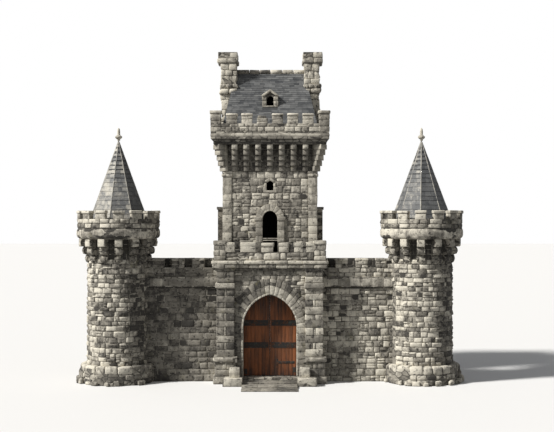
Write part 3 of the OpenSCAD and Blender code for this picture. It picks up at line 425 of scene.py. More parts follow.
class Pile:
    """Stones of one kind, gathered into one mesh. Each point carries a tone, one number for the
    whole stone, and a rim, which is 0 in the joints and 1 on the face."""

    def __init__(self, seed):
        self.rng = np.random.default_rng(seed)
        self.seed = seed
        self.points, self.quads, self.tones, self.rims = [], [], [], []
        self.count = 0

    def put(self, grid, quads, place, tones, rims):
        """Adds n like shapes: grid (n, m, 3) in wall coordinates, the quads of one, a tone each
        and a rim a point. A placing function that mirrors has its quads turned round."""
        n, m = grid.shape[:2]
        middle = grid[0].mean(axis=0)
        spread = place(middle + 1e-3 * np.eye(3)) - place(middle)
        if np.linalg.det(spread) < 0:
            quads = quads[:, ::-1]
        self.points.append(place(grid).reshape(-1, 3))
        self.quads.append((quads[None] + self.count + m * np.arange(n)[:, None, None]).reshape(-1, 4))
        self.tones.append(np.repeat(tones, m))
        self.rims.append(np.broadcast_to(rims, (n, m)).ravel())
        self.count += n * m

    def tone(self, n, tone):
        """A random tone for each stone: a middle and how far either side of it."""
        return np.clip(tone[0] + tone[1] * (2.0 * self.rng.random(n) - 1.0), SHADE, 1.0)

    def faces(self, stones, place, out, relief, joint, rough=0.25, tone=(0.5, 0.5), missing=0.0):
        """Pillow-faced stones in a wall: a grid over each stone, whose corners are moved a little, swelling
        from the joint to its relief and tilted at random. A share is missing: sunk low and given the shade
        tone, as painted shade in the hollow."""
        n = len(stones)
        if not n:
            return
        rng = self.rng
        gone = rng.random(n) < missing
        u, v = np.meshgrid(FACE_STOPS, FACE_STOPS, indexing="ij")
        swell = np.outer(FACE_SWELL, FACE_SWELL)
        a0, a1, z0, z1 = (stones[:, k, None, None] for k in range(4))
        room = np.minimum(a1 - a0, z1 - z0)
        gap = np.minimum(joint, room * 0.3)
        corner = rng.uniform(-1.0, 1.0, (n, 2, 2, 2)) * (gap * 0.45 + room * 0.04)[..., None]
        wu, wv = (u + 1.0) / 2.0, (v + 1.0) / 2.0
        weights = ((1 - wu) * (1 - wv), (1 - wu) * wv, wu * (1 - wv), wu * wv)
        shift = sum(corner[:, i // 2, i % 2, None, None, :] * w[..., None] for i, w in enumerate(weights))
        along = (a0 + a1) / 2 + u * ((a1 - a0) / 2 - gap / 2) + shift[..., 0]
        up = (z0 + z1) / 2 + v * ((z1 - z0) / 2 - gap / 2) + shift[..., 1]
        height = relief * np.where(gone, 0.1, rng.uniform(0.45, 1.2, n))[:, None, None]
        tilt = 1.0 + rough * (rng.uniform(-1, 1, (n, 1, 1)) * u + rng.uniform(-1, 1, (n, 1, 1)) * v)
        lumps = rng.normal(0.0, 0.16 * rough, (n,) + u.shape)
        depth = out - 0.01 + (0.01 + height * np.clip(tilt + lumps, 0.15, None)) * swell
        grid = np.stack([along, up, depth], axis=-1).reshape(n, -1, 3)
        # A missing stone's hollow takes the shade tone: painted shade
        tones = np.where(gone, SHADE, self.tone(n, tone))
        self.put(grid, grid_quads(*u.shape), place, tones, swell.ravel()[None])

    def blocks(self, along, up, out, place, rounding=0.03, wobble=0.012, tone=(0.6, 0.3), size=0.21):
        """Whole stones, given by their spans in wall coordinates: each a pair of ends, and each
        end one number for all of them or an array with one for each. Edges are rounded by one
        length, or by one along each axis.

        A point inside a face stays at the edge of the rounding; one on an edge or corner lies on
        the rounding's circle or ball. Smooth noise of the given size then moves every point by up
        to the wobble.
        """
        ends = (np.atleast_1d(end) for span in (along, up, out) for end in span)
        ends = np.broadcast_arrays(*ends)
        lows, highs = (np.stack(ends[k::2], axis=1).astype(float) for k in (0, 1))
        n = len(lows)
        if not n:
            return
        half = (highs - lows)[:, None, :] / 2
        most = half if np.ndim(rounding) else half.min(axis=2, keepdims=True)
        r = np.minimum(rounding, most * 0.9)
        on_round = 1.0 / np.sqrt(BLOCK_FACE.sum(axis=1))[None, :, None]
        grid = (lows + highs)[:, None, :] / 2 + BLOCK_SIDE * (half - r + r * on_round * BLOCK_FACE)
        if wobble:
            noise = [smooth_noise(grid + 7.0 * k, size, self.seed + k) for k in range(3)]
            grid = grid + wobble * np.stack(noise, axis=-1)
        rim = np.where(BLOCK_FACE.sum(axis=1) > 1, 0.45, 1.0)[None]
        self.put(grid, BLOCK_QUADS, place, self.tone(n, tone), rim)

    def slates(self, rows, place, lift=0.022, thick=0.010, tone=(0.5, 0.5)):
        """Thin slates, each lying on the row below: a quad whose lower edge is lifted, with its
        edges turned down. rows holds, for each slate, the two ends of its lower edge, the two
        ends of its upper edge, and its lower and upper height on the slope."""
        rows = np.asarray(rows, float).reshape(-1, 6)
        n = len(rows)
        rng = self.rng
        a0, a1, b0, b1, z0, z1 = rows.T
        drop = rng.uniform(-0.012, 0.012, n)        # how much lower or higher a slate hangs
        lifted = lift * rng.uniform(0.8, 1.3, n)
        corners = [(a0, z0 + drop, lifted), (a1, z0 + drop + rng.uniform(-0.008, 0.008, n), lifted),
                   (b1, z1, np.full(n, thick)), (b0, z1, np.full(n, thick))]
        front = np.stack([np.stack(c, axis=-1) for c in corners], axis=1)
        back = front - np.array([0.0, 0.0, thick + lift * 1.2])
        quads = np.array([[0, 1, 2, 3], [0, 4, 5, 1], [1, 5, 6, 2], [2, 6, 7, 3], [3, 7, 4, 0]])
        rim = np.array([[1.0, 1, 1, 1, 0.2, 0.2, 0.2, 0.2]])
        self.put(np.concatenate([front, back], axis=1), quads, place, self.tone(n, tone), rim)

    def moulding(self, breaks, profile, place, groove=0.014, steps=3, wobble=0.012, tone=(0.6, 0.3)):
        """A moulded course: a profile of (out, up) points carried along a wall, drawn in a little
        at each break so that the joints show as grooves."""
        profile = np.asarray(profile, float)
        inward = profile.mean(axis=0) - profile
        inward /= np.linalg.norm(inward, axis=1, keepdims=True)
        for a, b in pairs(breaks):
            edge = min(0.03, (b - a) * 0.2)
            stations = np.concatenate([[a], np.linspace(a + edge, b - edge, steps), [b]])
            inset = np.where((stations == a) | (stations == b), groove, 0.0)
            section = profile[None] + inset[:, None, None] * inward[None]
            along = np.broadcast_to(stations[:, None], section.shape[:2])
            grid = np.stack([along, section[..., 1], section[..., 0]], axis=-1)
            noise = [smooth_noise(grid + 5.0 * k, 0.35, self.seed + k) for k in (1, 2)]
            grid[..., 1:] += wobble * np.stack(noise, axis=-1)
            rim = np.repeat(np.where(inset > 0, 0.25, 1.0), len(profile))[None]
            self.put(grid.reshape(1, -1, 3), grid_quads(*section.shape[:2]), place, self.tone(1, tone), rim)

    def piece(self, name, material, slot, body="masonry", replaces=(), smooth=True):
        """The pile as one object at the origin, riding on a body, with nothing below the ground."""
        points, quads = np.concatenate(self.points), np.concatenate(self.quads)
        points[:, 2] = np.maximum(points[:, 2], 0.0)
        mesh = bpy.data.meshes.new(name)
        mesh.vertices.add(len(points))
        mesh.vertices.foreach_set("co", points.astype(np.float32).ravel())
        mesh.loops.add(quads.size)
        mesh.loops.foreach_set("vertex_index", quads.astype(np.int32).ravel())
        mesh.polygons.add(len(quads))
        mesh.polygons.foreach_set("loop_start", np.arange(0, quads.size, 4, dtype=np.int32))
        mesh.polygons.foreach_set("use_smooth", np.full(len(quads), smooth))
        for mark, values in (("tone", self.tones), ("rim", self.rims)):
            layer = mesh.attributes.new(mark, "FLOAT", "POINT")
            layer.data.foreach_set("value", np.concatenate(values).astype(np.float32))
        mesh.update(calc_edges=True)
        mesh.validate()
        mesh.materials.append(material)
        piece = bpy.data.objects.new(name, mesh)
        bpy.context.scene.collection.objects.link(piece)
        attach(piece, body)
        if replaces:
            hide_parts(*replaces)
        return piece


# --- Materials ---

class Socket:
    """A value in a node tree. Arithmetic on it, from either side, adds Math nodes."""

    def __init__(self, tree, socket):
        self.tree, self.socket = tree, socket

    def math(self, operation, *values, clamp=False):
        """A Math node fed with the values in order."""
        node = self.tree.nodes.new("ShaderNodeMath")
        node.operation, node.use_clamp = operation, clamp
        for slot, value in zip(node.inputs, values):
            connect(self.tree, slot, value)
        return Socket(self.tree, node.outputs[0])

    def __add__(self, other):
        return self.math("ADD", self, other)

    def __radd__(self, other):
        return self.math("ADD", other, self)

    def __sub__(self, other):
        return self.math("SUBTRACT", self, other)

    def __rsub__(self, other):
        return self.math("SUBTRACT", other, self)

    def __mul__(self, other):
        return self.math("MULTIPLY", self, other)

    def __rmul__(self, other):
        return self.math("MULTIPLY", other, self)

    def __truediv__(self, other):
        return self.math("DIVIDE", self, other)

    def __rtruediv__(self, other):
        return self.math("DIVIDE", other, self)

    def step(self, start, end):
        """0 below start and 1 above end, with a smooth rise between them. With start above end
        it falls instead."""
        rising = ((self - start) / (end - start)).clamped()
        return rising * rising * (3.0 - 2.0 * rising)

    def clamped(self):
        """The value held between 0 and 1."""
        return self.math("ADD", self, 0.0, clamp=True)


def connect(tree, slot, value):
    """Links a value to an input, or sets it there when it is a constant."""
    if isinstance(value, Socket):
        tree.links.new(value.socket, slot)
    elif hasattr(slot.default_value, "__len__"):
        slot.default_value = (*value, 1.0)[:len(slot.default_value)]
    else:
        slot.default_value = value


class Graph:
    """The node tree of a material or a world."""

    def __init__(self, owner):
        owner.use_nodes = True
        self.owner, self.tree = owner, owner.node_tree

    def node(self, kind, settings=None, inputs=None, output=0):
        """Adds a shader node of a type, with its settings and its inputs' values or links."""
        node = self.tree.nodes.new("ShaderNode" + kind)
        for key, value in (settings or {}).items():
            setattr(node, key, value)
        for key, value in (inputs or {}).items():
            connect(self.tree, node.inputs[key], value)
        return Socket(self.tree, node.outputs[output])

    def place(self, stretch=(1.0, 1.0, 1.0)):
        """Object coordinates, stretched along each axis."""
        point = self.node("TexCoord", output="Object")
        return self.node("Mapping", None, {"Vector": point, "Scale": stretch})

    def mark(self, name):
        """A number stored on the mesh."""
        return self.node("Attribute", {"attribute_name": name}, output="Fac")

    def axis(self, letter):
        """One of the object coordinates."""
        return self.node("SeparateXYZ", None, {"Vector": self.place()}, letter)

    def noise(self, place, scale, detail=3.0, rough=0.55):
        """Noise from 0 to 1."""
        return self.node("TexNoise", None,
                         {"Vector": place, "Scale": scale, "Detail": detail, "Roughness": rough})

    def mix(self, share, a, b):
        """Two colours mixed by a share. The colour sockets of a Mix node share their names with
        its other sockets, so they are given by number."""
        return self.node("Mix", {"data_type": "RGBA"}, {0: share, 6: a, 7: b}, 2)

    def scale(self, tint, by):
        """A colour times a number."""
        return self.node("VectorMath", {"operation": "SCALE"}, {"Vector": tint, "Scale": by})

    def done(self, tint, roughness, height=None, depth=0.01, metallic=0.0):
        """Feeds the material's Principled shader and gives the finished material."""
        inputs = {"Base Color": tint, "Roughness": roughness, "Metallic": metallic}
        if height is not None:
            inputs["Normal"] = self.node("Bump", None,
                                         {"Height": height, "Distance": depth, "Strength": 1.0})
        for key, value in inputs.items():
            connect(self.tree, self.tree.nodes["Principled BSDF"].inputs[key], value)
        return self.owner


def stone_colour(g, c, value):
    """Dark, middle or light stone by a value from 0 to 1."""
    darker = g.mix(value.step(0.10, 0.48), c.stone_dark, c.stone_mid)
    return g.mix(value.step(0.45, 0.92), darker, c.stone_light)


def laid_stone(g, c, light=0.0, contrast=1.0, moss=0.5, dirt=1.0, edge=0.55):
    """Stone of the laid pieces: each stone's tone, stained by noise of three sizes, dark in the
    joints and in streaks below, with patches of lichen and a pitted face."""
    tone, rim = g.mark("tone"), g.mark("rim")
    here = g.place()
    broad = g.noise(here, 0.8, 3.0)
    blotch = g.noise(here, 3.6, 6.0, 0.68)
    grain = g.noise(here, 26.0, 4.0, 0.7)
    streak = g.noise(g.place((2.6, 2.6, 0.42)), 1.0, 3.0, 0.6)
    decay = g.noise(here, 5.5, 3.0, 0.55).step(0.585, 0.66)
    value = (tone - 0.5) * 0.66 * contrast + 0.50 + light
    value = value + (blotch - 0.5) * 1.25 * contrast + (grain - 0.5) * 0.50 + (broad - 0.5) * 0.7
    value = value - streak.step(0.54, 0.72) * 0.22 - decay * 0.34 * dirt
    tint = stone_colour(g, c, value.clamped())
    green = g.noise(here, 1.7, 5.0, 0.7).step(0.56, 0.70) * blotch.step(0.38, 0.62) * moss
    tint = g.mix(green, tint, c.lichen)
    joint = (1.0 - rim.step(0.0, 0.72)) * (0.35 + blotch.step(0.58, 0.42) * 0.65)
    tint = g.scale(tint, 1.0 - joint * edge)
    pits = g.node("TexVoronoi", None, {"Vector": here, "Scale": 15.0, "Randomness": 1.0})
    height = grain * 0.55 + blotch * 1.1 + pits.step(0.0, 0.34) * 0.35
    return g.done(tint, 0.93 - grain * 0.10, height, 0.030)


def rubble_core(g, c, light=-0.06):
    """Rubble of the construction pieces: flattened cells, bent by noise, each with its own tone
    and divided by mortar where two cells meet."""
    here = g.place((2.3, 2.3, 3.5))
    bend = g.scale(g.node("TexNoise", None, {"Vector": here, "Scale": 1.2}, "Color"), 0.35)
    bent = g.node("VectorMath", {"operation": "ADD"}, {"Vector": here, 1: bend})
    cells = {"Vector": bent, "Scale": 1.0}
    tone = g.node("SeparateColor", None, {"Color": g.node("TexVoronoi", None, cells, "Color")})
    face = g.node("TexVoronoi", {"feature": "DISTANCE_TO_EDGE"}, cells).step(0.015, 0.075)
    flat = g.place()
    blotch, grain = g.noise(flat, 4.5, 5.0, 0.65), g.noise(flat, 26.0, 4.0, 0.7)
    value = tone * 0.5 + 0.26 + light + (blotch - 0.5) * 0.9 + (grain - 0.5) * 0.35
    tint = g.mix(face, c.mortar, stone_colour(g, c, value.clamped()))
    return g.done(tint, 0.94, face * 1.6 + blotch * 0.8 + grain * 0.4, 0.030)


def slate_stone(g, c, light=0.0):
    """Slate: each slate's tone, clouded by noise, with pale weathering and a fine riven face."""
    tone, rim = g.mark("tone"), g.mark("rim")
    here = g.place()
    cloud = g.noise(here, 2.2, 5.0, 0.65)
    grain = g.noise(here, 30.0, 3.0, 0.6)
    value = tone * 0.55 + (cloud - 0.5) * 1.4 + (grain - 0.5) * 0.45 + 0.16 + light
    tint = g.mix(value.clamped(), c.slate_dark, c.slate_light)
    tint = g.mix((value - 0.35).step(0.25, 0.75) * (light * 2.6), tint, c.stone_light)
    moss = g.noise(here, 5.0, 4.0, 0.7).step(0.62, 0.74) * 0.4
    tint = g.scale(g.mix(moss, tint, c.stone_mid), 0.5 + 0.5 * rim)
    return g.done(tint, 0.60 + cloud * 0.25, grain * 0.5 + cloud, 0.010)


def oak(g, c):
    """Oak boards: grain stretched up the board and darker streaks, with damp dark wood near the foot and
    painted shade of the arch across the top."""
    tone, rim = g.mark("tone"), g.mark("rim")
    fibre = g.noise(g.place((17.0, 17.0, 0.8)), 1.0, 5.0, 0.62)
    wave = g.noise(g.place((6.0, 6.0, 0.55)), 1.0, 4.0, 0.6)
    stain = g.noise(g.place(), 1.3, 4.0, 0.6)
    z = g.axis("Z")
    damp = (z + (stain - 0.5) * 1.4).step(0.95, 0.30) * 0.38
    # Painted shade of the arch across the top of the leaves
    shade = (z + (wave - 0.5) * 0.5).step(3.1, 4.7) * 0.42
    value = 0.34 + tone * 0.50 + (wave - 0.5) * 2.0 + (fibre - 0.5) * 1.7 + (stain - 0.5) * 1.1
    tint = g.mix((value - damp - shade).clamped(), c.oak_dark, c.oak_red)
    tint = g.scale(tint, 0.12 + 0.88 * rim.step(0.25, 1.0))
    return g.done(tint, 0.66 + fibre * 0.2, fibre + wave * 0.6, 0.006)


def wrought_iron(g, c):
    """Black iron with rust in patches and a grey-green bloom."""
    here = g.place()
    cloud, grain = g.noise(here, 6.0, 5.0, 0.7), g.noise(here, 40.0, 3.0, 0.6)
    tint = g.mix(cloud.step(0.50, 0.66), c.iron, c.rust)
    tint = g.mix(g.noise(here, 3.1, 4.0, 0.6).step(0.54, 0.66) * 0.45, tint, c.patina)
    return g.done(tint, 0.74 + cloud * 0.2, grain * 0.6 + cloud, 0.006, 0.1)


def plank_floor(g, c, width=0.22):
    """Planks that run across: a groove at each width and grain along them."""
    planks = g.axis("Y") / width
    across = planks.math("FRACT", planks)
    groove = across.step(0.02, 0.07) * across.step(0.98, 0.93)
    number = g.node("TexWhiteNoise", {"noise_dimensions": "1D"}, {"W": planks.math("FLOOR", planks)})
    fibre = g.noise(g.place((1.2, 22.0, 22.0)), 1.0, 4.0, 0.6)
    tint = g.scale(c.planks, groove * (0.45 + number * 0.35 + fibre * 0.4))
    return g.done(tint, 0.75, groove + fibre * 0.3, 0.006)


def material(key, context):
    """The material of a key, built the first time that it is asked for."""
    title, build, options = MATERIALS[key]
    known = bpy.data.materials.get(title)
    if known:
        return known
    g = Graph(bpy.data.materials.new(title))
    return build(g, context.scene.gatehouse_colours, **options)


MATERIALS = {
    "bright": ("Turret stone", laid_stone, dict(light=0.06, contrast=1.25, edge=0.42)),
    "rubble": ("Tower rubble", laid_stone, dict(light=0.08, contrast=0.95, edge=0.34)),
    "dressed": ("Dressed stone", laid_stone, dict(light=0.06, contrast=0.9, edge=0.45)),
    "smooth": ("Smooth dressed stone", laid_stone,
               dict(light=0.04, contrast=0.6, moss=0.3, dirt=0.5, edge=0.35)),
    # The left curtain's stone, made darker partly as painted shade
    "dark": ("Curtain stone", laid_stone, dict(light=-0.08, contrast=0.75, moss=0.35, edge=0.85)),
    "mossy": ("Mossy stone", laid_stone, dict(light=-0.06, contrast=0.8, moss=1.0, edge=0.4)),
    "core": ("Rubble core", rubble_core, {}),
    "deep": ("Shaded rubble", rubble_core, dict(light=-0.34)),
    "slate": ("Slate", slate_stone, {}),
    "shingle": ("Spire slate", slate_stone, dict(light=0.24)),
    "oak": ("Oak boards", oak, {}),
    "iron": ("Wrought iron", wrought_iron, {}),
    "planks": ("Floor planks", plank_floor, {}),
}


# --- Pieces ---

def painted_lee_shade(angle, tone, fall=0.42):
    """A tone that falls on the side turned to +x, away from the key light: painted shade. The angle is in
    degrees from the front."""
    away = np.clip((75.0 - np.abs(np.asarray(angle) - 90.0)) / 35.0, 0.0, 1.0)
    return tone - fall * away


def middles(stones):
    """The middle of each stone along the wall."""
    return (stones[:, 0] + stones[:, 1]) / 2


class Build(Operator):
    """Shared form of the operators that add pieces."""
    bl_options = {"REGISTER", "UNDO"}

    def execute(self, context):
        self.context = context
        self.build(context.scene.gatehouse_sizes)
        return {"FINISHED"}

    def add(self, pile, name, key, slot, **more):
        """Makes a pile into a piece with a material."""
        return pile.piece(name, material(key, self.context), slot, **more)


class GATEHOUSE_OT_core(Build):
    """Coats every construction piece in rubble, slate, boards or iron, to show wherever no stone
    is laid over it."""
    bl_idname = "gatehouse.core"
    bl_label = "Coat Construction"

    def build(self, s):
        keys = {"slate": "slate", "oak_boards": "oak", "floor_boards": "planks", "black_iron": "iron"}
        slots = {part["node"]: part["material_slot"] for part in frame["record"]["subparts"]}
        for name, node in frame["nodes"].items():
            node.data.materials.clear()
            shaded = "crown" in name or "decks" in name
            key = "deep" if shaded else keys.get(slots[name], "core")
            node.data.materials.append(material(key, self.context))


class GATEHOUSE_OT_curtains(Build):
    """Lays the curtain walls: coursed pillow-faced stones, a rounded string course and a coping on each
    merlon. Faces are grids over each stone, swelling from the joint to the stone's relief; the string is a
    profile carried along the wall. The right wall is rougher and paler; the left one is darker, partly its
    own stone and partly painted shade of the left turret."""
    bl_idname = "gatehouse.curtains"
    bl_label = "Curtain Walls"

    def build(self, s):
        for side, name in SIDES:
            coarse = side > 0
            pile = Pile(11 + side)
            rng = pile.rng
            wall, battlement = name + "_curtain_wall", name + "_curtain_battlement"
            front, back = -low(wall)[1], high(wall)[1]
            walk, top = low(battlement)[2], high(battlement)[2]
            face, rear_face = facing(0), facing(2)
            if coarse:
                kind = dict(joint=s.joint, relief=0.045, tone=(0.66, 0.50), missing=0.04, rough=0.7)
                course, stone, stack = s.curtain_course * 0.92, s.curtain_stone * 0.80, 0.28
            else:
                # The left wall's stones are darker: partly their own colour, partly painted shade of the
                # left turret
                kind = dict(joint=s.joint, relief=0.034, tone=(0.38, 0.40), missing=0.01, rough=0.4)
                course, stone, stack = s.curtain_course, s.curtain_stone, 0.08
            shade = 0.09            # height of a painted shadow line under the string
            string_top, sill = walk + 0.54, top - 0.52
            span, rear = (sided(k, CURTAIN_INNER, CURTAIN_OUTER) for k in (side, -side))
            pile.faces(lay(rng, span, (0.0, walk - shade), course, stone, stack=stack), face, front, **kind)
            pile.faces(lay(rng, rear, (0.0, top), course, stone, stack=stack), rear_face, back, **kind)
            # Stones under the string painted dark, as its shadow
            pile.faces(lay(rng, span, (walk - shade, walk), 0.1, 0.6), face, front, 0.01, 0.0,
                       tone=(-0.4, 0.1))
            string = round_profile(front - 0.05, front + 0.165, walk - 0.01, string_top, 0.10, 3)
            string[-2:, 1] += 0.03          # its top slopes
            pile.moulding(cuts(rng, *sided(side, CURTAIN_INNER, CURTAIN_OUTER + 0.05), 0.62), string, face,
                          wobble=0.032 if coarse else 0.012, groove=0.02,
                          tone=(0.60 if coarse else 0.45, 0.3))
            pile.faces(lay(rng, sided(side, 3.2, CURTAIN_OUTER), (string_top, sill), 0.24, 0.5), face,
                       front, **kind)
            crenels, rear_crenels = ([sided(k, c - CRENEL_HALF, c + CRENEL_HALF) for c in CURTAIN_CRENELS]
                                     for k in (side, -side))
            for a, b in free_spans(*sided(side, 3.25, CURTAIN_OUTER), crenels):
                pile.faces(lay(rng, (a, b), (sill, top - 0.10), 0.24, 0.42), face, front, **kind)
                for c, d in pairs(cuts(rng, a - 0.02, b + 0.02, 0.48, 0.25)):
                    pile.blocks((c, d - 0.01), (top - 0.11, top + 0.025), (front - 0.45, front + 0.07),
                                face, 0.035, 0.018, tone=(0.80, 0.2))
            for a, b in crenels:
                pile.blocks((a - 0.02, b + 0.02), (sill - 0.06, sill + 0.02), (front - 0.44, front + 0.03),
                            face, 0.025, 0.012, tone=(0.6, 0.3))
            # The rear parapet, seen over the front one, and the inner side of the front parapet, painted
            # dark as the shade seen through the crenels
            pile.faces(lay(rng, span, (walk + 0.02, top - 0.05), 0.3, 0.5), face, 0.30 - back, 0.006, 0.0,
                       tone=(-0.5 if coarse else 0.12, 0.08))
            for z0, z1, blocked in ((walk, sill, None), (sill, top - 0.10, lambda *_: rear_crenels)):
                stones = lay(rng, sided(-side, 3.25, CURTAIN_OUTER), (z0, z1), 0.3, 0.5, blocked)
                pile.faces(stones, rear_face, 0.42 - front, **kind)
            self.add(pile, f"{name}_curtain_stones", "rubble" if coarse else "dark", "rubble_stone")


class GATEHOUSE_OT_turrets(Build):
    """Lays the turrets: bulging stones round the shaft, each a grid bent onto the circle, large
    stones round the plinth, and loose stones that have come off its foot."""
    bl_idname = "gatehouse.turrets"
    bl_label = "Turret Walls"

    def build(self, s):
        for side, name, centre, radius in turrets():
            pile = Pile(23 + side)
            rng = pile.rng
            foot, top = low(name + "_turret_shaft")[2], low("turret_corbels")[2] + 0.20
            walk = low(name + "_curtain_battlement")[2]
            place = drum(centre, radius)
            degree = radius * math.radians(1.0)
            circle = (-180 * degree, 180 * degree)
            hidden = sided(-side, 64 * degree, 116 * degree)        # behind the curtain wall
            stones = lay(rng, circle, (foot - 0.02, top), s.turret_course, s.turret_stone,
                         lambda z0, z1: [hidden] if z1 < walk + 0.2 else (), stack=0.10, vary=0.55)
            # Stones on the side away from the key light are painted darker, as shade
            pile.faces(stones, place, radius, 0.055, s.joint, rough=1.0, missing=0.025,
                       tone=(painted_lee_shade(middles(stones) / degree, 0.62), 0.48))
            # Stones between the corbels, painted dark as the shade under the crown
            pile.faces(lay(rng, circle, (top, top + 1.15), 0.3, 0.5), place, radius, 0.02, s.joint,
                       tone=(-0.1, 0.15))
            self.plinth(pile, centre, side)
            self.add(pile, f"{name}_turret_stones", "bright", "rubble_stone")

    def plinth(self, pile, centre, side):
        """Two rough courses and a course of long stones with a sloped top, and the loose stones
        at their foot."""
        rng = pile.rng
        outer = (high("turret_plinths") - low("turret_plinths"))[1] / 2
        middle, top = 0.60, high("turret_plinths")[2]
        place = drum(centre, outer)
        degree = outer * math.radians(1.0)
        circle = (-180 * degree, 180 * degree)
        hidden = sided(-side, 70 * degree, 110 * degree)
        lower = lay(rng, circle, (0.0, middle), 0.30, 0.50, lambda *_: [hidden], vary=0.4)
        a, b, z0, z1 = lower.T
        swell = rng.uniform(-0.03, 0.085, len(lower))
        # Plinth stones on the side away from the key light are painted darker, as shade
        pile.blocks((a + 0.008, b - 0.008), (z0 + 0.004, z1 - 0.006), (outer - 0.25, outer + swell),
                    place, 0.07, 0.03, tone=(painted_lee_shade(middles(lower) / degree, 0.5, 0.3), 0.45))
        upper = lay(rng, circle, (middle, top), 0.45, 0.78, lambda *_: [hidden], vary=0.3)
        a, b, z0, z1 = upper.T
        swell = rng.uniform(-0.005, 0.05, len(upper))
        pile.blocks((a + 0.007, b - 0.007), (z0, z1 + 0.01), (outer - 0.45, outer + swell),
                    place, 0.10, 0.025, tone=(painted_lee_shade(middles(upper) / degree, 0.82, 0.35), 0.20))
        self.loose(pile, place, degree, outer, side)

    def loose(self, pile, place, degree, outer, side):
        """Small stones strewn round the foot, most of them on the outer side, and three heaps
        there, each higher and further in than the one before."""
        rng = pile.rng
        count, gathered = 11 if side < 0 else 18, 4
        strewn = rng.uniform(-95, 60, count - gathered)
        spots = np.concatenate([strewn, side * rng.uniform(60, 98, gathered)]) * degree
        wide, tall, deep = (rng.uniform(0.18, 0.42, (count, 3)) * [1.0, 0.75, 0.6]).T
        near = outer - 0.02 + rng.uniform(0.0, 0.10, count)
        pile.blocks((spots, spots + wide), (0.0, tall), (near, near + deep), place, 0.06, 0.035,
                    tone=(0.75, 0.25))
        heap = 7
        for tall, reach in ((0.30, 0.34), (0.62, 0.20), (0.90, 0.09)):
            spots = side * rng.uniform(66, 104, heap) * degree
            half = rng.uniform(0.12, 0.24, heap)
            pile.blocks((spots - half, spots + half), (0.0, tall * rng.uniform(0.8, 1.15, heap)),
                        (outer - 0.1, outer + reach * rng.uniform(0.7, 1.0, heap)), place, 0.07, 0.04,
                        tone=(0.5, 0.35))


class GATEHOUSE_OT_turret_heads(Build):
    """Lays the turrets' corbels as stacked rounded blocks, the roll moulding as a profile with
    rounded corners carried round in lengths, the parapet as pillow-faced stones, and the splayed
    merlons as rounded blocks."""
    bl_idname = "gatehouse.turret_heads"
    bl_label = "Turret Heads"

    def build(self, s):
        for side, name, centre, shaft in turrets():
            pile = Pile(37 + side)
            crown = name + "_turret_crown"
            radius = (high(crown) - low(crown))[0] / 2
            roll, top = low(crown)[2], high(crown)[2]
            angles = [k * 360 / TURRET_TEETH + side * s.turret_turn for k in range(TURRET_TEETH)]
            for angle in angles:
                self.corbel(pile, angle, centre, shaft, roll)
            circle = math.pi * radius
            profile = round_profile(shaft - 0.02, radius + 0.02, roll - 0.015, roll + 0.625, 0.235, 5)
            pile.moulding(cuts(pile.rng, -circle, circle, 0.9, 0.35), profile, drum(centre, radius),
                          groove=0.010, wobble=0.026, tone=(0.68, 0.22))
            wall, sill = radius - 0.05, top - 0.45
            place = drum(centre, wall)
            degree = wall * math.radians(1.0)
            stones = lay(pile.rng, (-180 * degree, 180 * degree), (roll + 0.60, sill), 0.25, 0.62)
            # Parapet stones on the side away from the key light are painted darker, as shade
            pile.faces(stones, place, wall, 0.045, s.joint * 0.7, rough=0.9, missing=0.03,
                       tone=(painted_lee_shade(middles(stones) / degree, 0.62), 0.46))
            for angle in angles:
                self.merlon(pile, angle, place, degree, wall, sill, top)
            self.add(pile, f"{name}_turret_head", "bright", "dressed_stone")

    def corbel(self, pile, angle, centre, shaft, top):
        """Three blocks, each wider and further out than the one below and all but the last
        rounded to a bulge."""
        rng = pile.rng
        halves, tones = (0.135, 0.165, 0.20), (0.40, 0.45, 0.86)
        foot = low("turret_corbels")[2]
        rise = (top - foot) / 3
        for i in range(3):
            half = halves[i] + rng.uniform(-0.01, 0.02)
            reach = shaft + 0.50 * (i + 1) / 3 + rng.uniform(-0.015, 0.03)
            # Corbels on the side away from the key light are painted darker, as shade
            pile.blocks((-half, half), (foot + rise * i + 0.004, foot + rise * (i + 1) - 0.004),
                        (shaft - 0.1, reach), facing(angle / 90, centre),
                        np.array([0.03, 0.15, 0.17]) if i < 2 else 0.045, 0.014,
                        tone=(painted_lee_shade(angle, tones[i], 0.3), 0.16))

    def merlon(self, pile, angle, place, degree, wall, sill, top):
        """A block between two crenels and the wider coping on it."""
        rng = pile.rng
        half = (360 / TURRET_TEETH - TURRET_CRENEL) / 2
        a, b = (angle - half) * degree, (angle + half) * degree
        cap = top - 0.15
        grow = rng.uniform(0.0, 0.02, 4)
        # Merlons and copings on the side away from the key light are painted darker, as shade
        pile.blocks((a - 0.012 - grow[0], b + 0.012 + grow[1]), (sill - 0.04, cap),
                    (wall - 0.32, wall + 0.03 + grow[2]), place, 0.04, 0.018, tone=(painted_lee_shade(angle, 0.60), 0.34))
        worn = rng.choice([0.0, 0.0, 0.0, 0.02])        # one coping in four is lower
        pile.blocks((a - 0.050 - grow[1], b + 0.050 + grow[0]), (cap, top + 0.02 - worn),
                    (wall - 0.355, wall + 0.08 + grow[3]), place, 0.040, 0.020,
                    tone=(painted_lee_shade(angle, 0.90, 0.25), 0.12))


# Painted light and shade on each face of the left and right spires, paler on the faces that the key light
# falls on and darker on those turned away, from the one just right of the front
SPIRE_FACE_LIGHTING = {-1: (0.62, -0.15, 0.20, 0.45, 0.50, 0.50, 0.70, 0.92),
               1: (-0.10, -0.55, 0.10, 0.40, 0.50, 0.45, 0.25, 0.48)}

# Outline of a finial, as (radius, height above its foot)
FINIAL = ((0.085, 0.0), (0.085, 0.02), (0.075, 0.06), (0.11, 0.10), (0.175, 0.14), (0.205, 0.20),
          (0.195, 0.25), (0.130, 0.30), (0.088, 0.34), (0.086, 0.42), (0.084, 0.52), (0.076, 0.62),
          (0.050, 0.70), (0.004, 0.735))


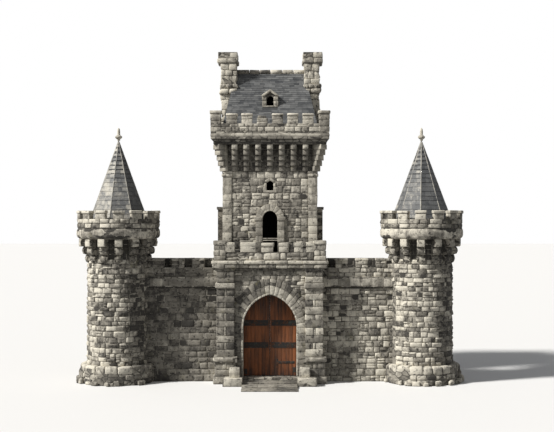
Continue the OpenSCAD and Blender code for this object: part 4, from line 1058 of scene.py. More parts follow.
class GATEHOUSE_OT_spires(Build):
    """Lays the spires: slates in rows that narrow up each face, a roll up every hip, and the
    finial, a profile turned round the axis."""
    bl_idname = "gatehouse.spires"
    bl_label = "Spires"

    def build(self, s):
        slates, rolls, finials = Pile(41), Pile(43), Pile(47)
        foot, peak = high("left_turret_crown")[2] - 0.95, low("turret_finials")[2]
        for side, _, centre, _ in turrets():
            apex = np.array([*centre, peak])
            for k in range(SPIRE_FACES):
                turns = np.radians([s.spire_turn + 45.0 * k, s.spire_turn + 45.0 * (k + 1)])
                ends = [np.array([centre[0] + SPIRE_RADIUS * math.sin(turn),
                                  centre[1] - SPIRE_RADIUS * math.cos(turn), foot]) for turn in turns]
                # Each face takes its share of painted light and shade
                self.face(slates, s, ends, apex, SPIRE_FACE_LIGHTING[side][k])
                self.hip(rolls, ends[0], apex, centre)
            profile = np.array(FINIAL) + [0.0, peak]
            finials.moulding([-math.pi, 0.0, math.pi], profile, drum(centre, 1.0), groove=0.0, steps=9,
                             wobble=0.006, tone=(0.85, 0.1))
        self.add(slates, "spire_slates", "shingle", "slate", smooth=False)
        self.add(rolls, "spire_hips", "shingle", "slate")
        self.add(finials, "finials", "dressed", "dressed_stone", replaces=("turret_finials",))

    def face(self, pile, s, ends, apex, tone):
        """Rows of slates between the two corners of a face and the apex. A slate's ends are
        shares of the row's half width, which falls evenly up the face."""
        middle = (ends[0] + ends[1]) / 2
        half, rise = np.linalg.norm(ends[1] - ends[0]) / 2, np.linalg.norm(apex - middle)
        place = tilted(middle, ends[1] - ends[0], apex - middle)
        gap, rows = 0.006, []
        for z0, z1 in pairs(np.append(np.arange(0.0, rise - 0.12, s.spire_row), rise - 0.03)):
            w0, w1 = half * (1 - z0 / rise), half * (1 - z1 / rise)
            edges = cuts(pile.rng, -1.0, 1.0, max(0.26 / max(w0, 0.05), 0.34), 0.25)
            rows += [(a * w0, b * w0 - gap, a * w1, b * w1 - gap, z0, z1) for a, b in pairs(edges)]
        pile.slates(rows, place, 0.026, 0.010, tone=(tone, 0.28))

    def hip(self, pile, foot, apex, centre):
        """A half-round bead carried up the hip from its foot."""
        bead = 0.028
        outward = np.array([*(foot[:2] - centre), 0.0]) / SPIRE_RADIUS
        hip = apex - foot
        across = np.cross(outward, hip)
        square = np.cross(hip, across)
        line = tilted(foot, hip, across, square / np.linalg.norm(square))
        turn = np.linspace(math.pi, 0.0, 6)
        profile = np.stack([0.005 + bead * np.sin(turn), bead * np.cos(turn)], axis=1)
        pile.moulding(np.linspace(0.0, np.linalg.norm(hip) - 0.05, 14), profile, line, groove=0.006,
                      wobble=0.008, tone=(0.95, 0.25))


class GATEHOUSE_OT_tower(Build):
    """Lays the main tower: rubble on its four walls round the openings, and dressed quoins with
    two-part capitals at the corners. Rubble is pillow-faced grids, some stones left out."""
    bl_idname = "gatehouse.tower"
    bl_label = "Tower Walls"

    def build(self, s):
        pile, quoins = Pile(53), Pile(59)
        rng = pile.rng
        half = high("tower_front_wall")[0]
        base, top = low("tower_quoins")[2], high("tower_quoins")[2]
        face = high("tower_quoins")[0] - 0.04
        inner = face - 0.50
        arch_half = s.door_half + s.surround - 0.09
        bay, bay_half = high("tower_side_walls")[0] - 0.06, 0.81
        bay_stones = 0.77
        slit_foot, slit_top, slit_half = 10.72, 11.56, s.slit_half + 0.02 + 0.15
        corbels_top = 13.5
        for quarter in range(4):
            place = facing(quarter)
            side = quarter % 2 == 1

            def doorway(z0, z1):
                """The span left free at a course: the bay's, or the doorway's as its arcs leave it
                a little below the middle of the course."""
                if side and z0 < BAY_TOP:
                    return [(-bay_half, bay_half)]
                w = arc_half_width(arch_half, s.door_offset, s.door_spring, z0 * 0.6 + z1 * 0.4)
                return [(-w, w)] if z0 < s.door_spring + arch_half and w > 0.05 else ()

            slit = None if side else lambda *_: [(-slit_half, slit_half)]
            for z0, z1, blocked in ((TERRACE_WALL_TOP, BAY_TOP, doorway), (BAY_TOP, slit_foot, doorway),
                                    (slit_foot, slit_top, slit), (slit_top, top, None)):
                stones = lay(rng, (-inner, inner), (z0, z1), s.rubble_course, s.rubble_stone, blocked,
                             stack=0.36, vary=0.45)
                pile.faces(stones, place, half, 0.024, s.joint, rough=0.7, tone=(0.54, 0.46), missing=0.035)
            # Below the terrace's wall the rubble is painted dark, as the shade seen through the gate's
            # crenels
            stones = lay(rng, (-inner, inner), (base, TERRACE_WALL_TOP), s.rubble_course,
                         s.rubble_stone, doorway, stack=0.36)
            pile.faces(stones, place, half, 0.024, s.joint, rough=0.7, tone=(-0.35, 0.20))
            if side:
                window = [(-bay_half - 0.01, bay_half + 0.01)]
                stones = lay(rng, (-bay_stones, bay_stones), (base, BAY_TOP), 0.34, 0.5,
                             lambda z0, z1: window if z1 > 8.0 else ())
                pile.faces(stones, place, bay, 0.02, s.joint, tone=(0.55, 0.35))
            # The wall behind the corbels lies in shade
            pile.faces(lay(rng, (-half, half), (top, corbels_top), 0.34, 0.42), place, half, 0.02,
                       s.joint, tone=(0.05, 0.06))
            self.corner(quoins, quarter, base, top, face, inner)
        self.add(pile, "tower_rubble", "rubble", "rubble_stone")
        self.add(quoins, "quoin_stones", "dressed", "dressed_stone")

    def corner(self, pile, quarter, base, top, face, inner):
        """Quoins on the corner to the right of a face, each standing out by its own amount, and
        the two courses of the capital."""
        place = facing(quarter)
        for z0, z1 in pairs(cuts(pile.rng, base, top - 0.30, 0.50, 0.25)):
            grow = pile.rng.uniform(0.012, 0.03, 4)
            pile.blocks((inner + grow[2] - 0.02, face + grow[0]), (z0 + 0.004, z1 - 0.004),
                        (inner + grow[3] - 0.02, face + grow[1]), place, 0.022, 0.010, tone=(0.76, 0.20))
        for z0, z1, out in ((top - 0.31, top - 0.13, 0.075), (top - 0.13, top + 0.02, 0.045)):
            pile.blocks((inner - 0.05, face + out), (z0 + 0.004, z1 - 0.004), (inner - 0.05, face + out),
                        place, 0.05, 0.014, tone=(0.80, 0.2))


def pointed_stones(pile, side, opening, flat, count, depth, out, rounding, wobble, tone, grow=0.0):
    """Voussoirs up one arc of a pointed arch: blocks between count radial joints. The opening is
    its half width, its arcs' offset and its springing; depth is the span measured from the inner
    edge and out the span of the wall's thickness. A stone is up to grow deeper."""
    place, total = arch(side, *opening, flat)
    edges = cuts(pile.rng, 0.0, total, total / count, 0.16)
    more = pile.rng.uniform(0.0, grow, len(edges) - 1) if grow else 0.0
    pile.blocks(within(edges, 0.004), (depth[0], depth[1] + more), (out[0], out[1] + more * 0.5),
                place, rounding, wobble, tone=tone)


class GATEHOUSE_OT_openings(Build):
    """Dresses the tower's openings: smooth jambs, a ring of arch stones bent along each arc,
    imposts, sills, guard bars and the small windows' frames."""
    bl_idname = "gatehouse.openings"
    bl_label = "Tower Openings"

    def build(self, s):
        pile, bars = Pile(61), Pile(67)
        half = high("tower_front_wall")[0]
        bay = high("tower_side_walls")[0] - 0.06
        for quarter in range(4):
            flat = facing(quarter)
            front = quarter % 2 == 0
            wall = half if front else bay
            self.doorway(pile, s, flat, low("opening_surrounds")[2] if front else 8.15, wall,
                         half - 0.25, TERRACE_WALL_TOP + 0.03 if front else None)
            if front:
                self.slit(pile, s, flat, half)
                for z in (7.98, 8.09):          # undersides of the guard bars
                    bars.blocks((-s.door_half, s.door_half), (z - 0.002, z + 0.047),
                                (half + 0.063, half + 0.112), flat, 0.012, 0.002, tone=(0.9, 0.1))
            else:
                # The side window's sill, and the band over its shallow bay
                w = s.door_half + s.surround + 0.02
                pile.blocks((-w, w), (7.99, 8.165), (half - 0.2, wall + 0.125 + 0.05), flat, 0.035,
                            0.012, tone=(0.65, 0.1))
                pile.blocks((-0.87, 0.87), (9.77, 9.945), (half - 0.1, wall + 0.075), flat, 0.035,
                            0.012, tone=(0.75, 0.1))
        self.add(pile, "surround_stones", "smooth", "dressed_stone")
        self.add(bars, "guard_bars", "bright", "dressed_stone")

    def doorway(self, pile, s, flat, foot, wall, back, joint):
        """Jambs from the foot, imposts and arch stones of a doorway. One joint of the jambs lies
        at the given height, and what is below it is in shade."""
        opening = (s.door_half, s.door_offset, s.door_spring)
        proud, shade_top = wall + 0.125, 7.95
        for side in (-1, 1):
            levels = cuts(pile.rng, foot, 9.13, 0.44, 0.2)
            if joint:
                levels[np.argmin(np.abs(levels - joint))] = joint
            pile.blocks(sided(side, s.door_half - 0.012, s.door_half + s.surround + 0.012),
                        within(levels, 0.003), (back, proud), flat, 0.018, 0.004,
                        tone=(np.where(levels[1:] < shade_top, -0.2, 0.78), 0.14))
            pile.blocks(sided(side, s.door_half - 0.02, s.door_half + s.surround + 0.10),
                        (IMPOST_LOW, IMPOST_TOP), (back, proud + 0.045), flat, 0.04, 0.010,
                        tone=(0.72, 0.1))
            pointed_stones(pile, side, opening, flat, 4, (-0.012, s.surround + 0.012), (back, proud),
                           0.018, 0.004, (0.80, 0.12))
            pointed_stones(pile, side, opening, flat, 4, (-0.02, 0.055), (back + 0.1, proud + 0.014),
                           0.018, 0.003, (0.85, 0.08))

    def slit(self, pile, s, flat, half):
        """Jambs, sill and head stones of a small round-headed window."""
        inner, outer = s.slit_half - 0.006, s.slit_half + 0.15
        sill, head, back = s.slit_sill, s.slit_spring, half - 0.3
        for side in (-1, 1):
            for z0, z1, more in ((sill - 0.01, sill + 0.20, 0.05), (sill + 0.20, head + 0.06, -0.02)):
                pile.blocks(sided(side, inner, outer + more), (z0, z1 - 0.006), (back, half + 0.035),
                            flat, 0.03, 0.012, tone=(0.78, 0.2))
            place, total = arch(side, inner, 0.0, head, flat)
            pile.blocks((0.10, total - 0.004), (0.0, 0.17), (back, half + 0.035), place, 0.03, 0.008,
                        tone=(0.7, 0.2))
        pile.blocks((-outer - 0.04, outer + 0.04), (sill - 0.14, sill), (back, half + 0.05), flat, 0.03,
                    0.012, tone=(0.7, 0.2))


class GATEHOUSE_OT_machicolation(Build):
    """Lays the tower's corbels, each a stack of rounded blocks that step out, and the cove and
    roll above them, profiles carried round the tower and mitred at its corners."""
    bl_idname = "gatehouse.machicolation"
    bl_label = "Corbels and Moulding"

    def build(self, s):
        pile, ring = Pile(71), Pile(73)
        half = high("tower_front_wall")[0]
        foot, top = low("tower_corbels")[2], low("parapet_moulding")[2]
        pitch = 0.675
        for quarter in range(4):
            for k in range(-3, 4):
                self.stack(pile, facing(quarter), pitch * k, half, foot, top, 0.545)
            self.stack(pile, facing(quarter + 0.5), 0.0, half * math.sqrt(2.0), foot, top, 0.62, True)
        self.add(pile, "corbel_stones", "smooth", "dressed_stone", replaces=("tower_corbels",))
        cove_edge, roll_edge = half + 0.575, high("parapet_moulding")[0]
        cove = [(half - 0.05, top - 0.01), (cove_edge - 0.06, top - 0.01), (cove_edge, top + 0.02),
                (cove_edge + 0.01, top + 0.09), (cove_edge - 0.04, top + 0.14),
                (cove_edge - 0.05, top + 0.20), (cove_edge, top + 0.27), (cove_edge + 0.02, WALL_PATH)]
        roll = round_profile(half + 0.3, roll_edge + 0.02, WALL_PATH - 0.01, WALL_PATH + 0.41, 0.20, 7)
        for quarter in range(4):
            # The cove is painted dark, as the shade under the roll
            ring.moulding(cuts(ring.rng, -cove_edge, cove_edge, 1.25, 0.2), cove,
                          mitred(quarter, cove_edge), groove=0.004, wobble=0.004, tone=(-0.42, 0.08))
            ring.moulding(cuts(ring.rng, -roll_edge, roll_edge, 1.25, 0.25), roll,
                          mitred(quarter, roll_edge), groove=0.006, wobble=0.016, tone=(0.78, 0.14))
        self.add(ring, "moulding_stones", "smooth", "dressed_stone")

    def stack(self, pile, place, middle, wall, foot, top, reach, corner=False):
        """One corbel: five blocks whose reach grows in equal steps up to the whole. Those at the
        corners are wider, plainer and paler."""
        rng = pile.rng
        rolls, wide = 5, 0.25 if corner else 0.166
        rise = (top - foot) / rolls
        for i in range(rolls):
            half = wide + rng.uniform(-0.006, 0.006)
            out = wall + reach * (i + 1) / rolls + rng.uniform(-0.010, 0.010)
            last = i == rolls - 1
            rounding = 0.03 if corner else np.array([0.010, 0.040, 0.10 if last else 0.055])
            pile.blocks((middle - half, middle + half),
                        (foot + rise * i + 0.002, foot + rise * (i + 1) - 0.002), (wall - 0.08, out),
                        place, rounding, 0.007, tone=(0.80 if last or corner else 0.22 + 0.06 * i, 0.16))


class GATEHOUSE_OT_tower_battlement(Build):
    """Lays the tower's parapet: small stones on the wall, and merlons of rounded blocks under
    half-round copings, one of them broken off."""
    bl_idname = "gatehouse.tower_battlement"
    bl_label = "Tower Battlement"

    def build(self, s):
        pile = Pile(79)
        rng = pile.rng
        out = high("tower_parapet")[0]
        base, sill = low("tower_parapet")[2], high("tower_parapet")[2]
        post_top = high("tower_merlons")[2]
        pitch = 0.87
        for quarter in range(4):
            place = facing(quarter)
            pile.faces(lay(rng, (-2.9, 2.9), (base, sill), 0.23, 0.44, stack=0.1), place, out, 0.028,
                       s.joint * 0.7, rough=0.6, tone=(0.62, 0.38), missing=0.03)
            for k in range(-3, 3):
                self.merlon(pile, place, pitch * (k + 0.5), out, sill, post_top - 0.16,
                            broken=quarter == 0 and k == -1)
            self.post(pile, place, out, base, post_top)
        self.add(pile, "tower_battlement", "dressed", "dressed_stone", replaces=("tower_merlons",))

    def merlon(self, pile, place, middle, out, sill, top, broken):
        """Two courses of blocks under a coping, or under a worn lump where it has broken off."""
        rng = pile.rng
        height = top - (0.26 if broken else 0.0)
        body_top = height if broken else height - 0.15
        for z0, z1 in pairs([sill - 0.03, (sill + height) / 2 - 0.05, body_top]):
            for a, b in pairs(cuts(rng, middle - 0.308, middle + 0.308, 0.45, 0.4)):
                pile.blocks((a, b - 0.008), (z0, z1 - 0.006), (out - 0.41, out + rng.uniform(0.005, 0.035)),
                            place, 0.030, 0.014, tone=(0.64, 0.32))
        if broken:
            pile.blocks((middle - 0.26, middle + 0.20), (height - 0.06, height + 0.15),
                        (out - 0.38, out - 0.01), place, 0.13, 0.05, tone=(0.30, 0.2))
        else:
            pile.blocks((middle - 0.335, middle + 0.335), (height - 0.15, height + 0.015),
                        (out - 0.44, out + 0.055), place, np.array([0.035, 0.12, 0.14]), 0.012,
                        tone=(0.85, 0.15))

    def post(self, pile, place, out, base, top):
        """The corner post to the right of a face: blocks under a flat cap."""
        rng = pile.rng
        for z0, z1 in pairs(cuts(rng, base - 0.02, top - 0.16, 0.32, 0.2)):
            grow = rng.uniform(0.005, 0.03, 2)
            pile.blocks((out - 0.55, out + 0.03 + grow[0]), (z0, z1 - 0.006),
                        (out - 0.55, out + 0.03 + grow[1]), place, 0.04, 0.016, tone=(0.68, 0.3))
        pile.blocks((out - 0.60, out + 0.10), (top - 0.17, top + 0.012), (out - 0.60, out + 0.10), place,
                    0.05, 0.014, tone=(0.85, 0.15))


class GATEHOUSE_OT_block(Build):
    """Lays the gate block: courses on its sides and round the gate's arches, and the three
    courses of its cornice as rounded blocks, each further out than the one below."""
    bl_idname = "gatehouse.block"
    bl_label = "Gate Block"

    def build(self, s):
        pile = Pile(83)
        rng = pile.rng
        wide, deep = high("gate_side_walls")[:2]
        top = low("gate_cornice")[2]
        hood_half = s.gate_half + s.ring + s.hood - 0.10
        kind = dict(relief=0.036, joint=s.joint, rough=0.55, tone=(0.42, 0.42), missing=0.02)

        def hood(z0, z1):
            """The span left free at a course: the hood's width at the middle of the course."""
            w = arc_half_width(hood_half, s.gate_offset, s.gate_spring, z0 * 0.5 + z1 * 0.5)
            return [(-w, w)] if w > 0.05 else ()

        for quarter in (0, 2):
            stones = lay(rng, (-s.buttress_in, s.buttress_in), (4.2, top), 0.26, 0.42, hood, stack=0.15)
            pile.faces(stones, facing(quarter), deep, **kind)
        for quarter in (1, 3):
            # The buttresses' ends and the curtain wall
            gaps = [sided(2 - quarter, a, b) for a, b in ((3.5, 4.0), (-4.0, -3.5), (-3.6, -2.0))]
            stones = lay(rng, (-deep, deep), (0.0, top), s.block_course, 0.5, lambda *_: gaps, stack=0.15)
            pile.faces(stones, facing(quarter), wide, **kind)
        self.add(pile, "gate_block_stones", "rubble", "rubble_stone")
        self.cornice(s, wide, deep, top)

    def cornice(self, s, wide, deep, top):
        """Three courses round the block, which step forward over each buttress."""
        pile = Pile(89)
        crown = high("terrace_floor")[2]
        levels = (top, top + 0.14, crown - 0.20, crown)
        # The lowest course is painted dark, as the shade under the cornice
        outs, tones = (0.10, 0.245, 0.30), ((0.05, 0.1), (0.50, 0.4), (0.86, 0.14))
        for (z0, z1), out, tone in zip(pairs(levels), outs, tones):
            last = z1 == crown
            up = (z0 + 0.003, z1 - 0.003)
            for quarter in (0, 2, 1, 3):
                reach, end = (deep, wide) if quarter % 2 == 0 else (wide, deep)
                place = facing(quarter)
                edges = cuts(pile.rng, -end - out + 0.01, end + out - 0.01, 1.1 if last else 0.62, 0.3)
                swell = pile.rng.uniform(0.0, 0.03, len(edges) - 1)
                pile.blocks(within(edges, 0.004), up, (reach - 0.12, reach + out + swell), place, 0.045,
                            0.016, tone=tone)
                for side in (-1, 1) if quarter % 2 == 0 else ():
                    a, b = sided(side, s.buttress_in - out / 2 - 0.01, wide + out + 0.012)
                    edges = cuts(pile.rng, a, b, 1.3 if last else 0.6, 0.3)
                    face = deep + 0.25 + out / 2 + 0.01
                    swell = pile.rng.uniform(0, 0.05, len(edges) - 1)
                    pile.blocks(within(edges, 0.004), up, (deep - 0.1, face + swell), place, 0.05, 0.02,
                                tone=tone)
        self.add(pile, "cornice_stones", "dressed", "dressed_stone")


class GATEHOUSE_OT_buttresses(Build):
    """Lays the buttresses: courses of whole stones round each, with a stepped pedestal at the
    foot and a projecting band near the top."""
    bl_idname = "gatehouse.buttresses"
    bl_label = "Buttresses"

    def build(self, s):
        pile = Pile(97)
        wide, deep = high("gate_side_walls")[:2]
        top, curtain = low("gate_cornice")[2], -low("left_curtain_wall")[1]
        for front in (-1, 1):
            for side in (-1, 1):
                # The left buttress at the front is painted darker, as shade, like the left curtain
                weather_and_shade = (0.10 if side < 0 else 0.58) if front < 0 else 0.45
                # Lip, span up, height of a course, length of a stone, swell, tone, rounding
                for lip, z0, z1, course, stone, swell, tone, rounding in (
                        (0.0, 1.50, 5.34, 0.40, 0.7, (0.008, 0.050), (weather_and_shade, 0.42), 0.04),
                        (0.0, 5.65, top, 0.30, 0.7, (0.008, 0.045), (weather_and_shade, 0.40), 0.04),
                        (0.06, 5.34, 5.65, 0.31, 1.5, (0.03, 0.08), (0.66, 0.26), 0.06),
                        (0.19, 0.0, 0.43, 0.43, 1.5, (0.01, 0.05), (0.58, 0.3), 0.06),
                        (0.105, 0.43, 1.22, 0.40, 0.7, (0.008, 0.035), (0.48, 0.35), 0.04),
                        (0.19, 1.22, 1.52, 0.30, 1.5, (0.01, 0.045), (0.74, 0.2), 0.09)):
                    inner = max(s.buttress_in - lip, s.gate_half + s.ring + 0.012)
                    x = sided(side, inner, wide + lip)
                    y = sided(front, curtain, deep + 0.25 + lip)
                    levels = cuts(pile.rng, z0, z1, course, 0.25)
                    pile.blocks(*pillar(pile.rng, x, y, levels, 0.4, stone, swell), world, rounding,
                                0.018, tone=tone)
        self.add(pile, "buttress_stones", "dressed", "dressed_stone")


class GATEHOUSE_OT_gate_arch(Build):
    """Lays the gate's arches: jamb stones, a ring of voussoirs and a rougher hood outside it,
    both of blocks bent along the two arcs."""
    bl_idname = "gatehouse.gate_arch"
    bl_label = "Gate Arches"

    def build(self, s):
        pile, hood, moss = Pile(101), Pile(103), Pile(104)
        rng = pile.rng
        deep = high("gate_side_walls")[1]
        back, foot = deep - 0.64, low("gate_steps")[2] + high("passage_floor")[2]
        proud = deep + 0.075
        opening = (s.gate_half, s.gate_offset, s.gate_spring)
        for quarter in (0, 2):
            flat = facing(quarter)
            for side in (-1, 1):
                # The left jamb and voussoirs at the front are painted darker, as the left buttress's shadow
                shade = 0.34 if side < 0 and quarter == 0 else 0.68
                levels = cuts(rng, foot, s.gate_spring, 0.34, 0.25)
                swell = rng.uniform(0.0, 0.02, len(levels) - 1)
                pile.blocks(sided(side, s.gate_half - 0.014, s.gate_half + s.ring + 0.012),
                            within(levels, 0.004), (back, proud + swell), flat, 0.022, 0.010,
                            tone=(shade, 0.26))
                # A narrow paler edge runs up each jamb and round the arch
                pile.blocks(sided(side, s.gate_half - 0.020, s.gate_half + 0.085), within(levels, 0.003),
                            (back + 0.05, proud + 0.016), flat, 0.022, 0.005, tone=(0.86, 0.12))
                pointed_stones(pile, side, opening, flat, 11, (-0.014, s.ring + 0.005), (back, proud),
                               0.022, 0.010, (shade - 0.05, 0.34), 0.02)
                pointed_stones(pile, side, opening, flat, 11, (-0.020, 0.085),
                               (back + 0.05, proud + 0.016), 0.022, 0.005, (0.80, 0.16))
                self.hood(moss if side < 0 else hood, s, side, flat, deep)
        self.add(pile, "gate_arch_stones", "dressed", "dressed_stone")
        self.add(hood, "gate_hood_stones", "dressed", "dressed_stone")
        self.add(moss, "gate_hood_moss", "mossy", "dressed_stone")

    def hood(self, pile, s, side, flat, deep):
        """Stones of the hood: flat-faced, laid along the arc, some split in two, and cut off at
        the buttress."""
        rng = pile.rng
        place, total = arch(side, s.gate_half, s.gate_offset, s.gate_spring, flat)
        inner, outer = s.ring + 0.01, s.ring + s.hood + 0.01
        radius = s.gate_half + s.gate_offset
        gap, shallowest = 0.006, 0.04
        for a, b in pairs(cuts(rng, 0.0, total, 0.21, 0.35)):
            angle = (a + b) / 2 / total * math.acos(s.gate_offset / (radius + inner))
            room = (s.buttress_in + 0.02 + s.gate_offset) / max(math.cos(angle), 0.2) - radius
            reach = min(outer + rng.uniform(-0.05, 0.04), room)
            if reach - inner < shallowest:
                continue
            split = [inner, reach]
            if rng.random() < 0.35:
                split.insert(1, inner + (reach - inner) * rng.uniform(0.4, 0.6))
            for c, d in pairs(split):
                out = deep + 0.045 + rng.uniform(0, 0.04)
                pile.blocks((a + gap, b - gap), (c, d - gap), (deep - 0.1, out), place, 0.03, 0.016,
                            tone=(0.40, 0.40))


class GATEHOUSE_OT_gate_battlement(Build):
    """Lays the battlements over the gate: a parapet of rounded blocks, merlons with flat copings
    and stout corner posts."""
    bl_idname = "gatehouse.gate_battlement"
    bl_label = "Gate Battlements"

    def build(self, s):
        pile = Pile(107)
        rng = pile.rng
        base, post_top = low("front_battlement")[2], high("front_battlement")[2]
        sill, top = base + 0.45, base + 1.0
        out, end, half = 4.10, high("gate_side_walls")[0] + 0.17, 2.51
        for quarter in (0, 2):
            place = facing(quarter)
            sign = 1 if quarter == 0 else -1
            crenels = sorted(sided(sign, c - 0.15, c + 0.15) for c in (-1.81, -0.64, 0.345, 1.205))
            slot = sided(sign, 1.87, 2.02)
            # A narrow slot parts two merlons, filled by a dark block painted as the shade in it
            pile.blocks(slot, (sill, top - 0.02), (out - 0.3, out + 0.003), place, 0.0, 0.0, tone=(0, 0))
            merlons = free_spans(-half, half, crenels + [slot])
            boulders = lay(rng, (-half - 0.008, half + 0.008), (base - 0.01, sill + 0.01), 0.34, 0.55,
                           stack=0.5, vary=0.6)
            bodies = np.array([(a + 0.004, b - 0.004, sill + 0.01, top - 0.17) for a, b in merlons])
            for stones, rounding, wobble, tone in ((boulders, 0.10, 0.035, (0.50, 0.70)),
                                                   (bodies, 0.03, 0.014, (0.90, 0.12))):
                pile.blocks(*spread_of(stones, 0.003),
                            (out - 0.412, out + rng.uniform(0.01, 0.055, len(stones))), place, rounding,
                            wobble, tone=tone)
            for a, b in merlons:
                edges = cuts(rng, a - 0.015, b + 0.015, 0.9, 0.3)
                n = len(edges) - 1
                pile.blocks(within(edges, 0.002), (top - 0.225, top + rng.uniform(-0.01, 0.03, n)),
                            (out - 0.455, out + rng.uniform(0.045, 0.075, n)), place, 0.05, 0.018,
                            tone=(0.95, 0.05))
            for side in (-1, 1):
                self.post(pile, side, quarter, out, end, base, post_top)
        for quarter in (1, 3):
            for a, b in ((-3.55, -2.62), (2.62, 3.55)):
                stones = lay(rng, (a, b), (base, sill), 0.22, 0.45)
                pile.blocks(*spread_of(stones, 0.003, -0.004),
                            (end - 0.412, end + rng.uniform(0.01, 0.04, len(stones))), facing(quarter),
                            0.045, 0.02, tone=(0.55, 0.4))
        self.add(pile, "gate_battlements", "dressed", "dressed_stone")

    def post(self, pile, side, quarter, out, end, base, top):
        """A corner post of whole stones and its cap. The stones are worked out at the front; at
        the rear they are turned half round."""
        rng = pile.rng
        wide = 0.62
        x, y = sided(side, end - wide, end), sided(-1, out - wide + 0.04, out + 0.04)
        levels = cuts(rng, base - 0.01, top - 0.21, 0.32, 0.2)
        turned = world if quarter == 0 else lambda p: p * np.array([-1.0, -1.0, 1.0])
        pile.blocks(*pillar(rng, x, y, levels, 0.4, 0.7, (0.01, 0.04)), turned, 0.05, 0.02,
                    tone=(0.62, 0.36))
        pile.blocks(sided(side, end - 0.665, end + 0.045), (top - 0.225, top + 0.01),
                    (out - 0.63, out + 0.085), facing(quarter), 0.055, 0.018, tone=(0.82, 0.16))


class GATEHOUSE_OT_steps(Build):
    """Lays the steps as worn slabs and the low blocks with their upright stones beside them."""
    bl_idname = "gatehouse.steps"
    bl_label = "Steps"

    def build(self, s):
        pile = Pile(109)
        rng = pile.rng
        deep, floor = high("gate_side_walls")[1], high("passage_floor")[2]
        reach, half = (-low("gate_steps")[1] - deep) / 3, s.gate_half
        for quarter in (0, 2):
            place = facing(quarter)
            for k in range(3):
                near, z = deep + reach * k - 0.02, floor * (3 - k) / 6
                edges = cuts(rng, -half - 0.008, half + 0.008, 0.95, 0.25)
                pile.blocks(within(edges, 0.003), (max(z - 0.13, 0.0), z + 0.010),
                            (near, near + reach + 0.03), place, 0.016, 0.006, tone=(0.16, 0.22), size=0.5)
            for side in (-1, 1):
                pile.blocks(sided(side, half, 2.56), (0.0, 0.445), (4.35, 5.30), place, 0.05, 0.02,
                            tone=(0.84, 0.10))
                pile.blocks(sided(side, half + 0.14, half + 0.72), (0.42, 0.962), (4.36, 4.85), place,
                            0.045, 0.016, tone=(0.74, 0.10))
        self.add(pile, "steps_and_cheeks", "dressed", "dressed_stone")


class GATEHOUSE_OT_leaves(Build):
    """Boards and irons of the two gate leaves. A board is a block whose height is stretched, at
    each distance from the middle, to the arc that the leaf follows; rivets are rounded blocks."""
    bl_idname = "gatehouse.leaves"
    bl_label = "Gate Leaves"

    def build(self, s):
        for side, name in SIDES:
            leaf = name + "_leaf"
            body = f"{name}_gate_leaf"
            boards, irons = Pile(113 + side), Pile(127 + side)
            front, rear, foot = -low(leaf)[1], -high(leaf)[1], low(leaf)[2]
            near, far = 0.0006, max(abs(low(leaf)[0]), abs(high(leaf)[0]))
            meeting, hanging = 0.05, 0.10           # widths of the narrow board and the stile
            radius = s.gate_half + 0.06 + s.gate_offset

            def bent(p):
                """Up is a share of the height from the foot to the circle of the leaf's arc."""
                reach = np.clip(np.abs(p[..., 0]) + s.gate_offset, 0.0, radius)
                crown = s.gate_spring + np.sqrt(radius ** 2 - reach ** 2)
                up = foot + p[..., 1] * (crown - foot)
                return facing(0)(np.stack([p[..., 0], up, p[..., 2]], axis=-1))

            count = round((far - meeting - hanging - near) / s.board) + 1
            edges = np.append(near, np.linspace(near + meeting, far - hanging, count))
            starts, ends = edges[:-1], edges[1:]
            if side < 0:
                starts, ends = -ends, -starts
            depth = boards.rng.uniform(-0.003, 0.004, len(starts))
            # The narrow meeting board is painted dark, as shade in the gap between the leaves, and the left
            # leaf darker, as the shadow of the left jamb
            meeting_shade = np.where(np.arange(len(starts)) == 0, -0.6, 0.0)
            boards.blocks((starts, ends), (0.0, 1.0), (rear, front + depth), bent, 0.012, 0.0,
                          tone=((0.66 if side > 0 else 0.34) + meeting_shade, 0.40))
            boards.blocks(sided(side, far - hanging, far), (foot, high(leaf)[2]), (rear, front),
                          facing(0), 0.010, 0.0, tone=(0.4, 0.1))
            self.add(boards, f"{name}_leaf_boards", "oak", "oak_boards", body=body, replaces=(leaf,))
            self.straps(irons, side, front, far)
            self.add(irons, f"{name}_leaf_irons", "iron", "black_iron", body=body)

    def straps(self, pile, side, front, far):
        """Plates over the two straps with raised edges and rivets. The right leaf has a short
        low strap with an upright and a corner plate, the left one a corner plate alone."""
        place = facing(0)
        back, face = front - 0.004, front + 0.0155
        a, b = sided(side, 0.086, far)
        for middle in STRAP_MIDDLES:
            half = STRAP_TALL / 2
            pile.blocks((a, b), (middle - half - 0.003, middle + half + 0.003), (back, face), place,
                        0.004, 0.0, tone=(0.4, 0.1))
            for z in (middle - half + 0.030, middle + half - 0.030):
                pile.blocks((a, b), (z - 0.028, z + 0.028), (face - 0.004, face + 0.006), place, 0.008,
                            0.001)
            self.rivets(pile, place, np.abs([a, b]), side, (middle - 0.06, middle + 0.06), face, 0.15)
        if side > 0:
            lefts, rights = np.array([(0.36, 1.40), (0.36, 0.46), (1.30, 1.475)]).T
            feet, tops = np.array([(1.00, 1.15), (0.90, 1.27), (0.52, 0.80)]).T
            faces = front + np.array([0.012, 0.012, 0.010])
            pile.blocks((lefts, rights), (feet, tops), (back, faces), place, 0.008, 0.001)
            self.rivets(pile, place, (0.45, 1.38), side, (1.075,), front + 0.011, 0.23)
        else:
            pile.blocks((-1.47, -1.28), (0.40, 0.72), (back, front + 0.010), place, 0.008, 0.001)

    def rivets(self, pile, place, span, side, heights, face, pitch):
        """Rivets at a pitch along a strap, each a small rounded block."""
        half = 0.020
        x = side * np.arange(min(span) + 0.07, max(span) - 0.03, pitch)
        for z in heights:
            pile.blocks((x - half, x + half), (z - half, z + half), (face - 0.006, face + 0.011), place,
                        0.009, 0.0)


